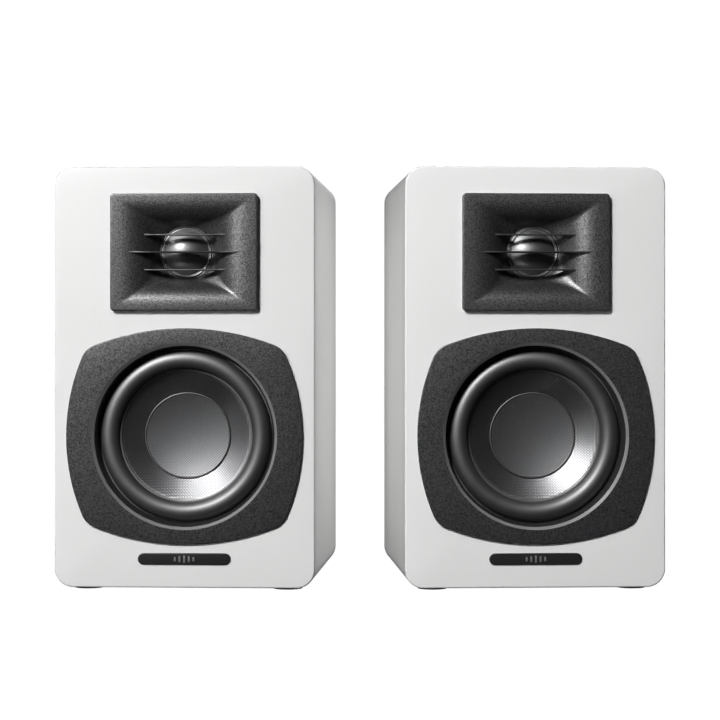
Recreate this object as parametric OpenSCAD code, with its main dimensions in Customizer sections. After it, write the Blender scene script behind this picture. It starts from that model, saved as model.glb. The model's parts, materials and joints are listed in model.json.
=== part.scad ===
/* [Cabinet] */
// Width of one cabinet
cab_w = 140; // [120:1:200]
// Height of one cabinet, without its feet
cab_h = 225; // [200:1:300]
// Depth of one cabinet
cab_d = 155; // [140:1:240]
// Radius of the four long corners
corner_r = 10; // [4:0.5:16]
// Thickness of the side walls
wall = 9; // [7:0.5:12]
// Thickness of the front baffle
baffle_t = 15; // [13:0.5:18]
// Bevel around the front edge of the baffle
edge_bevel = 1; // [0.4:0.1:2]
// Thickness of the rear panel
rear_t = 6; // [4:0.5:9]
// How far the rear panel sits inside the sleeve
rear_recess = 3; // [1:0.5:6]
// Gap left around the rear panel and around each plate set in a cut-out
fit_gap = 0.3; // [0.2:0.05:0.5]

/* [Placement] */
// Gap between the two cabinets at the front
pair_gap = 48; // [30:1:300]
// Angle that each cabinet is turned outwards
toe_out = 3.5; // [0:0.5:8]

/* [Feet and badge] */
// Height of a foot
foot_h = 1.5; // [1:0.1:4]
// Radius of a foot
foot_r = 8; // [5:0.5:10]
// Distance of a foot from the sides, front and rear
foot_inset = 16; // [12:1:24]
// Length of the badge plate
badge_w = 50; // [30:1:60]
// Height of the badge plate
badge_h = 6.4; // [4:0.2:9]
// Thickness of the badge plate
badge_t = 1; // [0.6:0.1:2]
// Height of the badge above the cabinet's underside
badge_rise = 15.4; // [10:0.2:17]

/* [Horn and tweeter] */
// Width of the horn's front plate
horn_w = 79; // [70:1:90]
// Height of the horn's front plate
horn_h = 62.6; // [56:0.2:70]
// Corner radius of the horn's front plate
horn_r = 2; // [1:0.5:4]
// How far the horn stands proud of the baffle
horn_proud = 3.6; // [2:0.2:5]
// Distance from the cabinet's top to the horn's top edge
horn_drop = 14.4; // [10:0.2:20]
// Width of the flat rim around the mouth
horn_rim = 1.6; // [1:0.2:3]
// Depth from the front of the horn to its throat
horn_depth = 14.1; // [12:0.1:15]
// How fast the flare steepens towards the throat
flare_power = 3; // [1.2:0.1:4]
// Radius of the round throat
throat_r = 14; // [13.6:0.1:15]
// Front length of the middle vane
long_vane = 59; // [48:1:64]
// Front length of the upper and lower vanes
short_vane = 43.6; // [36:0.2:48]
// Distance between vanes
vane_pitch = 9.4; // [8:0.2:11]
// Thickness of a vane
vane_t = 1.1; // [0.8:0.1:2]
// Radius of the tweeter dome
dome_r = 12.2; // [11.6:0.1:12.8]
// Height of the tweeter dome
dome_rise = 4.3; // [3:0.1:4.6]
// Radius of the tweeter's mounting ring
tweeter_ring_r = 26; // [25.5:0.5:27]
// Radius of the tweeter's magnet cup
tweeter_cup_r = 18; // [16:0.5:20]
// Length of the tweeter's magnet cup
tweeter_cup_l = 16.5; // [12:0.5:24]

/* [Woofer] */
// Width of the bowed trim
trim_w = 127; // [118:0.5:132]
// Height of the bowed trim
trim_h = 115.4; // [114:0.2:122]
// Radius of the bowed left and right edges
side_bow_r = 108; // [95:1:150]
// Radius of the bowed top and bottom edges
top_bow_r = 134; // [115:1:180]
// Radius of the trim's corners
trim_corner_r = 12; // [8:0.5:16]
// How far the trim stands proud of the baffle
trim_proud = 2; // [1:0.2:3]
// Height of the woofer's centre above the cabinet's underside
woofer_rise = 81; // [80:0.5:84]
// Radius of the opening at the front of the trim
opening_r = 50; // [49:0.2:51]
// Radius of the opening where the trim meets the surround
opening_back_r = 46.7; // [46:0.1:47.5]
// Depth of the woofer's mounting face behind the baffle's front
seat_depth = 9; // [8:0.5:12]
// Radius of the basket's flange
flange_r = 54; // [53:0.5:55]
// Thickness of the basket's flange
flange_t = 1.6; // [1.2:0.1:2]
// Middle radius of the rubber roll
roll_mid_r = 41; // [40:0.1:42]
// Radius of the rubber roll's section
roll_r = 5.2; // [4:0.1:5.4]
// Thickness of the rubber
roll_t = 0.7; // [0.5:0.1:1]
// Radius where the cone's slope begins
cone_r = 34.4; // [33:0.2:34.6]
// Depth of the cone, from its edge to its neck
cone_depth = 12.8; // [10:0.2:13]
// Thickness of the cone
cone_t = 1; // [0.6:0.1:1.4]
// Radius of the dust cap
cap_r = 22.8; // [18:0.2:25]
// Depth of the dust cap's dish
cap_dish = 2.6; // [1.5:0.1:3]
// Radius of the steel pole
pole_r = 12; // [10:0.1:12.5]
// Gap between the voice coil and the steel on each side
coil_gap = 0.4; // [0.3:0.05:0.6]
// Wall of the voice coil, former and wire together
coil_t = 0.75; // [0.5:0.05:1]
// Radius of the ferrite magnet
magnet_r = 35; // [30:0.5:40]
// Thickness of the ferrite magnet
magnet_t = 12; // [8:0.5:18]

/* [Bass port] */
// Inner radius of the port
port_r = 15; // [10:0.5:18]
// Length of the port tube
port_l = 88; // [50:1:90]
// Height of the port's centre above the cabinet's underside
port_rise = 176; // [174:1:185]

/* [Connections] */
// Width and height of the amplifier panel
amp_size = 108; // [104:1:112]
// Thickness of the amplifier panel
amp_t = 1.5; // [1:0.1:3]
// Radius of the volume knob
knob_r = 10; // [8:0.5:12]
// Height of the volume knob
knob_h = 13; // [10:0.5:16]
// Radius of the volume shaft
shaft_r = 3; // [2.5:0.1:3.2]
// Clearance of a turning or sliding fit
running_gap = 0.05; // [0.02:0.01:0.1]
// Radius of the pairing button
button_r = 3.2; // [2.5:0.1:4]
// Outer radius of a phono socket
phono_r = 4.15; // [4:0.05:4.3]
// Radius of the mini-jack socket's hole
jack_r = 1.8; // [1.7:0.05:1.9]
// Radius of the power socket's hole
power_r = 2.8; // [2.6:0.05:3]
// Width of a terminal lever
lever_w = 11; // [8:0.5:12]
// Radius of a terminal's wire hole
wire_r = 1.5; // [1:0.1:1.8]

/* [Hidden] */
SIDES = ["left", "right"];
PIECES = [
    "cabinet", "baffle", "rear_panel", "feet", "badge", "port_tube", "screws",
    "horn", "horn_vanes", "tweeter_ring", "tweeter_dome", "tweeter_coil", "tweeter_magnet",
    "woofer_trim", "woofer_basket", "woofer_surround", "woofer_cone", "dust_cap",
    "woofer_coil", "spider", "woofer_magnet", "woofer_yoke",
    "terminal_base", "red_lever", "black_lever"
];
POWERED = [
    "amp_panel", "amp_board", "potentiometer", "knob_shaft", "volume_knob",
    "pair_button", "status_light", "phono_sockets", "jack_socket", "power_socket"
];

$fn = 64;
hull_fn = 32;
eps = 0.01;
white = "white";
black = "#232326";
steel = "silver";

// Screws, and the corner blocks that the rear panel is screwed to
screw_r = 1.45;
head_r = 2.1;
head_h = 1.2;
pilot_gap = 0.05;
panel_block = 12;

// Heights of the main centres above the table
cab_mid = foot_h + cab_h / 2;
horn_z = foot_h + cab_h - horn_drop - horn_h / 2;
woofer_z = foot_h + woofer_rise;
port_z = foot_h + port_rise;
amp_z = foot_h + wall + panel_block / 2 + head_r + 1 + amp_size / 2;

// The rear panel, and the plate faces that the sockets sit on
inner_w = cab_w - 2 * wall;
inner_h = cab_h - 2 * wall;
inner_r = 2;
rear_face = cab_d - rear_recess;
rear_inside = rear_face - rear_t;
amp_face = rear_face + amp_t;
amp_lap = 8;
amp_cut = amp_size - 2 * amp_lap;
amp_screws = amp_size - 7;

// A phono socket: a thin shank through the panel, and a wider shell just clear of it
phono_out = 9;
phono_seat = 0.5;
phono_shank_r = phono_r - 0.65;
phono_floor = 0.8;

// The horn: the mouth, its levels and the vanes' places
mouth_w = horn_w - 2 * horn_rim;
mouth_h = horn_h - 2 * horn_rim;
throat_y = horn_depth - horn_proud;
horn_side_lap = 3.7;
horn_end_lap = 3.5;
horn_box_w = horn_w - 2 * horn_side_lap;
horn_box_h = horn_h - 2 * horn_end_lap;
dome_y = throat_y + 0.5;
dome_t = 0.6;
dome_back = dome_y + 0.2;
vane_back = dome_y - dome_rise - dome_t - 0.7;
ring_t = 2;
ring_back = throat_y + ring_t;
tweeter_coil_t = 0.5;
tweeter_screw_r = (tweeter_cup_r + tweeter_ring_r) / 2 + 0.8;

// The woofer, from the front to the back
recess_r = flange_r + fit_gap;
plane_y = seat_depth - flange_t;
trim_end = plane_y - roll_t;
hole_r = roll_mid_r + 3.6;
coil_in = pole_r + coil_gap;
coil_out = coil_in + coil_t;
plate_hole_r = coil_out + coil_gap;
glue_gap = 0.1;
neck_r = coil_out - 0.35 + glue_gap;
neck_y = plane_y + cone_depth;
coil_front = neck_y - 1.2;
spider_y = neck_y + 2.8;
spider_t = 1;
ledge_y = spider_y + spider_t;
ledge_r = roll_mid_r - 4.4;
plate_y = ledge_y + 8;
plate_t = 4;
magnet_y = plate_y + plate_t;
yoke_y = magnet_y + magnet_t;
yoke_r = magnet_r - 2;
screw_ring = flange_r - 3.2;

// Places on the amplifier panel, from its centre
knob_at = [-36, 33];
button_at = [-12, 35];
light_at = [2, 35];
phono_at = [[24, 33], [40, 33]];
jack_at = [32, 10];
power_at = [-36, -32];
outlet_at = [16, -30];
knob_gap = 0.8;
knob_end = amp_face + knob_gap + knob_h;
terminal_rise = 34;

// Each cabinet is turned about the middle of its front face
half_turned = cab_w / 2 * cos(toe_out);
speaker_x = pair_gap / 2 + half_turned;
front_reach = max(
    horn_w / 2 * sin(toe_out) + horn_proud * cos(toe_out),
    trim_w / 2 * sin(toe_out) + trim_proud * cos(toe_out)
);
rear_reach = max(
    (knob_at[0] + knob_r) * sin(toe_out) + knob_end * cos(toe_out),
    cab_w / 2 * sin(toe_out) + cab_d * cos(toe_out)
);
speaker_y = (front_reach - rear_reach) / 2;

// Opening of the flare: 1 at the mouth and 0 at the throat
function flare_at(half_w) = (half_w - throat_r) / (mouth_w / 2 - throat_r);
function flare_w(t) = 2 * throat_r + t * (mouth_w - 2 * throat_r);
function flare_h(t) = 2 * throat_r + t * (mouth_h - 2 * throat_r);
function flare_y(t) = -horn_proud + horn_depth * pow(1 - t, flare_power);
function cone_y(r) = plane_y + cone_depth * (cone_r - r) / (cone_r - neck_r);

long_t = flare_at(long_vane / 2);
short_t = flare_at(short_vane / 2);

// Bowed rectangle: centre of the corner arc that touches both bows
function bow_corner(a, b, rs, rt, rc) =
    let (
        from = [a - rs, 0],
        to = [0, b - rt],
        gap = norm(to - from),
        along = (to - from) / gap,
        u = ((rs - rc) * (rs - rc) - (rt - rc) * (rt - rc) + gap * gap) / (2 * gap),
        v = sqrt((rs - rc) * (rs - rc) - u * u)
    )
    from + u * along + v * [along[1], -along[0]] * (along[1] > 0 ? 1 : -1);

function arc(c, r, a0, a1, n) = [for (i = [0:n]) c + r * [cos(a0 + (a1 - a0) * i / n), sin(a0 + (a1 - a0) * i / n)]];

function bow_quarter(a, b, rs, rt, rc) =
    let (
        c = bow_corner(a, b, rs, rt, rc),
        a0 = atan2(c[1], c[0] - (a - rs)),
        a1 = atan2(c[1] - (b - rt), c[0])
    )
    concat(
        arc([a - rs, 0], rs, 0, a0, 5),
        arc(c, rc, a0 + (a1 - a0) / 6, a1 - (a1 - a0) / 6, 4),
        arc([0, b - rt], rt, a1, 90, 5)
    );

function turned(points) = [for (i = [len(points) - 1:-1:0]) points[i]];
function inner_points(points) = [for (i = [1:len(points) - 2]) points[i]];

module bowed_rect(w, h) {
    q = bow_quarter(w / 2, h / 2, side_bow_r, top_bow_r, trim_corner_r);
    far = inner_points(q);
    polygon(concat(
        q,
        [for (p = turned(far)) [-p[0], p[1]]],
        [for (p = q) [-p[0], -p[1]]],
        [for (p = turned(far)) [p[0], -p[1]]]
    ));
}

module rounded_rect(w, h, r, fn = $fn) {
    square([w - 2 * r, h], center = true);
    square([w, h - 2 * r], center = true);
    for (sx = [-1, 1], sz = [-1, 1])
        translate([sx * (w / 2 - r), sz * (h / 2 - r)])
            circle(r, $fn = fn);
}

// A flat outline, drawn as seen from the front, from depth y1 to depth y2
module slab(y1, y2) {
    translate([0, y2, 0])
        rotate([90, 0, 0])
            linear_extrude(y2 - y1)
                children();
}

// Round shapes whose axis runs from front to back
module turned_about_y() {
    rotate([-90, 0, 0])
        rotate_extrude()
            children();
}

module rod(y1, y2, r) {
    translate([0, y1, 0])
        rotate([-90, 0, 0])
            cylinder(h = y2 - y1, r = r);
}

module pipe(y1, y2, r_in, r_out) {
    difference() {
        rod(y1, y2, r_out);
        rod(y1 - 1, y2 + 1, r_in);
    }
}

module at(x, z) {
    translate([x, 0, z])
        children();
}

// One speaker's own frame: front face at y 0, table at z 0
module speaker(side) {
    s = side == "left" ? -1 : 1;
    translate([s * speaker_x, speaker_y, 0])
        rotate([0, 0, s * toe_out])
            children();
}

module on_amp(place) {
    at(place[0], amp_z + place[1])
        children();
}

module corners(w, h) {
    for (sx = [-1, 1], sz = [-1, 1])
        at(sx * w / 2, sz * h / 2)
            children();
}

module four_around(r, start = 0) {
    for (a = [0:90:270])
        at(r * cos(a + start), r * sin(a + start))
            children();
}

// Cabinet

module cabinet_outline() {
    rounded_rect(cab_w, cab_h, corner_r);
}

module cabinet() {
    color(white) {
        at(0, cab_mid) {
            difference() {
                slab(baffle_t, cab_d) cabinet_outline();
                slab(baffle_t - 1, cab_d + 1) rounded_rect(inner_w, inner_h, inner_r);
            }
            difference() {
                corners(inner_w - panel_block, inner_h - panel_block)
                    slab(rear_inside - panel_block, rear_inside) square(panel_block + eps, center = true);
                corners(inner_w - panel_block, inner_h - panel_block)
                    rod(rear_inside - panel_block + 2, rear_inside + 1, screw_r + pilot_gap);
            }
        }
    }
}

module baffle() {
    color(white)
        difference() {
            at(0, cab_mid) {
                slab(edge_bevel, baffle_t) cabinet_outline();
                hull() {
                    slab(0, eps)
                        rounded_rect(cab_w - 2 * edge_bevel, cab_h - 2 * edge_bevel, corner_r - edge_bevel, hull_fn);
                    slab(edge_bevel, edge_bevel + eps)
                        rounded_rect(cab_w, cab_h, corner_r, hull_fn);
                }
            }
            at(0, horn_z)
                slab(-1, baffle_t + 1)
                    square([horn_box_w + 2 * fit_gap, horn_box_h + 2 * fit_gap], center = true);
            at(0, woofer_z) {
                rod(-1, seat_depth, recess_r);
                rod(-1, baffle_t + 1, hole_r);
                four_around(screw_ring, 45)
                    rod(seat_depth - 1, baffle_t - 0.5, screw_r + pilot_gap);
            }
        }
}

module rear_panel(side) {
    color(black)
        difference() {
            at(0, cab_mid)
                slab(rear_inside, rear_face)
                    rounded_rect(inner_w - 2 * fit_gap, inner_h - 2 * fit_gap, inner_r);
            at(0, cab_mid)
                corners(inner_w - panel_block, inner_h - panel_block)
                    rod(rear_inside - 1, rear_face + 1, screw_r + pilot_gap);
            at(0, port_z)
                rod(rear_inside - 1, rear_face + 1, port_tube_r + fit_gap);
            if (side == "left")
                terminal_place(side) {
                    slab(rear_inside - 1, rear_face + 1)
                        square([core_w + 2 * fit_gap, core_h + 2 * fit_gap], center = true);
                }
            else
                at(0, amp_z) {
                    slab(rear_inside - 1, rear_face + 1) square(amp_cut, center = true);
                    corners(amp_screws, amp_screws)
                        rod(rear_inside + 1, rear_face + 1, screw_r + pilot_gap);
                }
        }
}

module feet() {
    color(black)
        for (sx = [-1, 1], y = [foot_inset, cab_d - foot_inset])
            translate([sx * (cab_w / 2 - foot_inset), y, 0])
                cylinder(h = foot_h, r = foot_r);
}

module badge() {
    color(black)
        at(0, foot_h + badge_rise)
            slab(-badge_t, 0) rounded_rect(badge_w, badge_h, badge_h / 2 - eps);
}

port_wall = 2.5;
port_tube_r = port_r + port_wall;
port_lip_r = port_tube_r + 5;
port_lip_t = 2;

module port_tube() {
    color(black)
        at(0, port_z)
            difference() {
                union() {
                    rod(rear_face - port_l, rear_face + port_lip_t, port_tube_r);
                    rod(rear_face, rear_face + port_lip_t, port_lip_r);
                }
                rod(rear_face - port_l - 1, rear_face + port_lip_t + 1, port_r);
            }
}

module screw(head_y, tip_y) {
    into = sign(tip_y - head_y);
    rod(min(head_y, tip_y), max(head_y, tip_y), screw_r);
    rod(min(head_y, head_y - into * head_h), max(head_y, head_y - into * head_h), head_r);
}

module screws(side) {
    color(steel) {
        at(0, woofer_z)
            four_around(screw_ring, 45) screw(plane_y, baffle_t - 1);
        at(0, horn_z)
            four_around(tweeter_screw_r) screw(ring_back, ring_back - ring_t - 4);
        at(0, cab_mid)
            corners(inner_w - panel_block, inner_h - panel_block)
                screw(rear_face, rear_inside - panel_block + 3);
        if (side == "right")
            at(0, amp_z)
                corners(amp_screws, amp_screws) screw(amp_face, rear_inside + 1.5);
    }
}

// Horn and tweeter

module flare_level(t) {
    slab(flare_y(t), flare_y(t) + eps)
        rounded_rect(flare_w(t), flare_h(t), max(horn_rim, throat_r * (1 - t) * 0.6), hull_fn);
}

module flare() {
    hull() {
        slab(-horn_proud - 1, -horn_proud + eps) square([mouth_w, mouth_h], center = true);
        flare_level(long_t);
    }
    hull() {
        flare_level(long_t);
        flare_level(short_t);
    }
    hull() {
        flare_level(short_t);
        rod(throat_y - eps, throat_y, throat_r, $fn = hull_fn);
    }
    rod(throat_y - 0.1, throat_y + 1, throat_r - 0.1);
}

module horn() {
    color(black)
        at(0, horn_z)
            difference() {
                union() {
                    slab(-horn_proud, 0) rounded_rect(horn_w, horn_h, horn_r);
                    slab(-eps, throat_y) square([horn_box_w, horn_box_h], center = true);
                }
                flare();
                four_around(tweeter_screw_r)
                    rod(throat_y - 4.5, throat_y + 1, screw_r + pilot_gap);
            }
}

module vane(front_y, length) {
    slab(front_y, throat_y - 0.6)
        square([length + 20, vane_t], center = true);
}

module horn_vanes() {
    color(black)
        at(0, horn_z)
            difference() {
                intersection() {
                    union() {
                        vane(flare_y(long_t), long_vane);
                        for (s = [-1, 1])
                            at(0, s * vane_pitch) vane(flare_y(short_t), short_vane);
                    }
                    flare();
                }
                rod(vane_back, throat_y + 1, throat_r + 1);
            }
}

module tweeter_ring() {
    color(black)
        at(0, horn_z)
            difference() {
                pipe(throat_y, ring_back, throat_r, tweeter_ring_r);
                four_around(tweeter_screw_r)
                    rod(throat_y - 1, ring_back + 1, screw_r + pilot_gap);
            }
}

dome_edge_r = throat_r - 0.3;
dome_steps = 8;
function dome_front(r) = dome_y - dome_rise * (1 - pow(r / dome_r, 2));

module tweeter_dome() {
    color("dimgray")
        at(0, horn_z)
            turned_about_y()
                polygon(concat(
                    [for (i = [0:dome_steps]) [dome_r * i / dome_steps, dome_front(dome_r * i / dome_steps) - dome_t]],
                    [[dome_edge_r, dome_y - dome_t], [dome_edge_r, dome_back]],
                    [[dome_r - 1.2, dome_back]],
                    [for (i = [dome_steps - 1:-1:0]) let (r = (dome_r - 1.2) * i / dome_steps) [r, dome_front(r)]]
                ));
}

tweeter_coil_r = dome_r + 0.3;

module tweeter_coil() {
    color("peru")
        at(0, horn_z)
            pipe(dome_back, ring_back + 5, tweeter_coil_r - tweeter_coil_t, tweeter_coil_r);
}

module tweeter_magnet() {
    color(steel)
        at(0, horn_z)
            difference() {
                rod(ring_back, ring_back + tweeter_cup_l, tweeter_cup_r);
                pipe(ring_back - 1, ring_back + 8,
                    tweeter_coil_r - tweeter_coil_t - coil_gap, tweeter_coil_r + coil_gap);
            }
}

// Woofer

module woofer_trim() {
    color(black)
        at(0, woofer_z)
            difference() {
                union() {
                    slab(-trim_proud, 0) bowed_rect(trim_w, trim_h);
                    rotate([-90, 0, 0])
                        cylinder(h = trim_end, r1 = opening_r + 1.8, r2 = opening_back_r + 1.8);
                }
                translate([0, -trim_proud, 0])
                    rotate([-90, 0, 0])
                        cylinder(h = trim_end + trim_proud, r1 = opening_r, r2 = opening_back_r);
            }
}

window_w = 34;

module woofer_basket() {
    color("dimgray")
        at(0, woofer_z)
            difference() {
                turned_about_y()
                    polygon([
                        [hole_r - 0.2, plane_y], [flange_r, plane_y], [flange_r, seat_depth],
                        [hole_r - 0.4, seat_depth], [ledge_r + 1.4, spider_y], [ledge_r + 1.4, ledge_y + 1.2],
                        [ledge_r - 5, ledge_y + 1.2], [ledge_r - 7.4, plate_y], [plate_hole_r + 1, plate_y],
                        [plate_hole_r + 1, plate_y - 1.2], [ledge_r - 8.4, plate_y - 1.2],
                        [ledge_r - 6.4, ledge_y], [ledge_r + 0.2, ledge_y], [ledge_r + 0.2, spider_y],
                        [hole_r - 1.6, seat_depth]
                    ]);
                four_around(hole_r)
                    translate([0, (seat_depth + spider_y) / 2 + 0.5, 0])
                        cube([window_w, spider_y - seat_depth - 2.5, window_w], center = true);
                four_around(screw_ring, 45)
                    rod(plane_y - 1, seat_depth + 1, screw_r + pilot_gap);
            }
}

module woofer_surround() {
    color("#1c1c1e")
        at(0, woofer_z)
            turned_about_y() {
                difference() {
                    translate([roll_mid_r, plane_y]) circle(roll_r);
                    translate([roll_mid_r, plane_y]) circle(roll_r - roll_t);
                    translate([roll_mid_r - 2 * roll_r, plane_y]) square(4 * roll_r);
                }
                translate([cone_r + 0.2, trim_end])
                    square([roll_mid_r - roll_r + roll_t - cone_r - 0.3, roll_t]);
                translate([roll_mid_r + roll_r - roll_t + 0.1, trim_end])
                    square([opening_back_r + 1.8 - roll_mid_r - roll_r + roll_t, roll_t]);
            }
}

module woofer_cone() {
    color("#3a3a3d")
        at(0, woofer_z)
            turned_about_y()
                polygon([
                    [cone_r + 1.6, plane_y], [cone_r, plane_y], [neck_r, neck_y],
                    [neck_r, neck_y + cone_t], [cone_r - 0.2, plane_y + cone_t], [cone_r + 1.6, plane_y + cone_t]
                ]);
}

cap_t = 0.6;
cap_steps = 6;
function cap_y(r) = cone_y(cap_r) + cap_dish * (1 - pow(r / cap_r, 2));

module dust_cap() {
    color("#3a3a3d")
        at(0, woofer_z)
            turned_about_y()
                polygon(concat(
                    [for (i = [0:cap_steps]) let (r = cap_r * i / cap_steps) [r, cap_y(r) - cap_t]],
                    [for (i = [cap_steps:-1:0]) let (r = cap_r * i / cap_steps) [r, cap_y(r)]]
                ));
}

module woofer_coil() {
    color("peru")
        at(0, woofer_z) {
            pipe(coil_front, plate_y + plate_t + 3, coil_in, neck_r - glue_gap);
            pipe(plate_y - 2, plate_y + plate_t + 2, neck_r - glue_gap - eps, coil_out);
        }
}

spider_waves = 5;

module spider() {
    run = (ledge_r - coil_out) / spider_waves;
    color("#c8a23c")
        at(0, woofer_z)
            turned_about_y() {
                translate([coil_out, spider_y + 0.3])
                    square([ledge_r - coil_out, spider_t - 0.3]);
                for (i = [0:spider_waves - 2])
                    translate([coil_out + run * (i + 0.8), spider_y + 0.3])
                        circle(spider_t - 0.3);
            }
}

module woofer_magnet() {
    color("#2e2c2b")
        at(0, woofer_z)
            pipe(magnet_y, yoke_y, plate_hole_r + 4, magnet_r);
}

module woofer_yoke() {
    color(steel)
        at(0, woofer_z) {
            pipe(plate_y, magnet_y, plate_hole_r, yoke_r);
            rod(plate_y, yoke_y + eps, pole_r);
            rod(yoke_y, yoke_y + plate_t, yoke_r);
        }
}

// Terminals: a base with two pockets, and a lever on a pin in each

terminal_w = 46;
terminal_h = 28;
terminal_deep = 12;
terminal_lap = 3;
core_w = terminal_w - 2 * terminal_lap;
core_h = terminal_h - 2 * terminal_lap;
terminal_t = 2;
lever_x = 9;
lever_gap = 0.5;
pocket_low = -2.2;
pocket_high = 9;
pocket_deep = 8;
pin_r = 1.2;
pin_end = 1;
pin_y = -0.6;
lever_tall = 7.6;
lever_out = 3.4;
wire_z = -6.5;

module terminal_place(side) {
    if (side == "left")
        at(0, foot_h + terminal_rise) children();
    else
        on_amp(outlet_at) children();
}

function terminal_face(side) = side == "left" ? rear_face : amp_face;

module on_terminal(side) {
    terminal_place(side)
        translate([0, terminal_face(side), 0])
            children();
}

module lever_pin(x, r, over) {
    translate([x - lever_w / 2 - lever_gap - over, pin_y, 0])
        rotate([0, 90, 0])
            cylinder(h = lever_w + 2 * lever_gap + 2 * over, r = r);
}

module terminal_base(side) {
    color(black)
        on_terminal(side)
            difference() {
                union() {
                    slab(0, terminal_t) rounded_rect(terminal_w, terminal_h, 2);
                    slab(-terminal_deep, eps) square([core_w, core_h], center = true);
                }
                for (s = [-1, 1]) {
                    translate([s * lever_x - lever_w / 2 - lever_gap, -pocket_deep, pocket_low])
                        cube([lever_w + 2 * lever_gap, pocket_deep + terminal_t + 1, pocket_high - pocket_low]);
                    lever_pin(s * lever_x, pin_r + running_gap, pin_end + 0.2);
                    at(s * lever_x, wire_z) rod(-pocket_deep, terminal_t + 1, wire_r);
                }
            }
}

module lever(side, s, paint) {
    color(paint)
        on_terminal(side) {
            translate([s * lever_x - lever_w / 2, pin_y, -1.4])
                cube([lever_w, lever_out - pin_y - 1.2, lever_tall + 1.4]);
            translate([s * lever_x - lever_w / 2, lever_out - 1.8 - eps, lever_tall - 2.4])
                cube([lever_w, 1.8, 2.4]);
            lever_pin(s * lever_x, pin_r, pin_end);
        }
}

// Amplifier

panel_holes = [
    [knob_at, 3.5 + fit_gap], [button_at, button_r + 0.1], [light_at, 1.6], [phono_at[0], phono_shank_r + 0.1],
    [phono_at[1], phono_shank_r + 0.1], [jack_at, 4.1]
];

module amp_panel() {
    color("#2b2b2e")
        difference() {
            at(0, amp_z)
                slab(rear_face, amp_face) rounded_rect(amp_size, amp_size, 3);
            at(0, amp_z)
                corners(amp_screws, amp_screws)
                    rod(rear_face - 1, amp_face + 1, screw_r + pilot_gap);
            for (h = panel_holes)
                on_amp(h[0]) rod(rear_face - 1, amp_face + 1, h[1]);
            on_amp(power_at)
                slab(rear_face - 1, amp_face + 1) square([10 + 2 * fit_gap, 12 + 2 * fit_gap], center = true);
            on_amp(outlet_at)
                slab(rear_face - 1, amp_face + 1)
                    square([core_w + 2 * fit_gap, core_h + 2 * fit_gap], center = true);
        }
}

board_y = rear_inside - 10;

module amp_board() {
    color("darkgreen")
        at(0, amp_z) {
            slab(board_y - 1.6, board_y) square([amp_cut - 6, amp_cut - 6], center = true);
            at(22, 20) rod(board_y - 19, board_y - 1.6 + eps, 8);
            at(22, -2) rod(board_y - 19, board_y - 1.6 + eps, 8);
            at(-14, 6) slab(board_y - 14, board_y - 1.6 + eps) square([30, 24], center = true);
        }
}

bush_r = 3.5;

module potentiometer() {
    color("gray")
        on_amp(knob_at)
            difference() {
                union() {
                    slab(rear_face - 8, rear_face) square([16, 18], center = true);
                    rod(rear_face - eps, amp_face + 5, bush_r);
                    rod(amp_face, amp_face + 1.6, bush_r + 2, $fn = 6);
                }
                rod(rear_face - 6, amp_face + 6, shaft_r + running_gap);
            }
}

module knob_shaft() {
    color(steel)
        on_amp(knob_at)
            rod(rear_face - 5, knob_end - 2, shaft_r);
}

grip_count = 24;

module volume_knob() {
    color(black)
        on_amp(knob_at)
            difference() {
                rod(amp_face + knob_gap, knob_end, knob_r);
                rod(amp_face, amp_face + 6, bush_r + 2.8);
                rod(amp_face, knob_end - 2 + 0.1, shaft_r + 0.02);
                for (a = [0:360 / grip_count:359])
                    at(knob_r * cos(a), knob_r * sin(a))
                        rod(amp_face + knob_gap + 1.5, knob_end + 1, 0.5, $fn = 16);
            }
}

button_out = 1.6;

module pair_button() {
    color("gainsboro")
        on_amp(button_at) {
            rod(rear_face - 3, amp_face + button_out, button_r);
            rod(rear_face - 3, rear_face - 1.6, button_r + 1);
        }
}

module status_light() {
    color("#d8e8ff")
        on_amp(light_at)
            rod(rear_face - 4, amp_face + 0.4, 1.5);
}

module phono_sockets() {
    color(steel)
        for (p = phono_at)
            on_amp(p) {
                difference() {
                    union() {
                        rod(rear_face - 6, amp_face + phono_seat, phono_shank_r);
                        rod(amp_face + phono_seat, amp_face + phono_out, phono_r);
                    }
                    pipe(amp_face + phono_seat + phono_floor, amp_face + phono_out + 1, 2.6, phono_r - 0.5);
                    rod(amp_face - 2, amp_face + phono_out + 1, 1.6);
                    rod(amp_face + phono_out - 1.5, amp_face + phono_out + 1, 2.7);
                }
            }
}

module jack_socket() {
    color("gray")
        on_amp(jack_at)
            difference() {
                union() {
                    slab(rear_face - 14, rear_face) square([11, 12], center = true);
                    rod(rear_face - eps, amp_face + 1.5, 4);
                }
                rod(amp_face + 1.5 - 13, amp_face + 2.5, jack_r);
            }
}

module power_socket() {
    color(black)
        on_amp(power_at) {
            difference() {
                slab(rear_face - 12, amp_face + 1) square([10, 12], center = true);
                rod(amp_face - 8.5, amp_face + 2, power_r);
            }
            rod(amp_face - 9, amp_face - 0.5, 1);
        }
}

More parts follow.
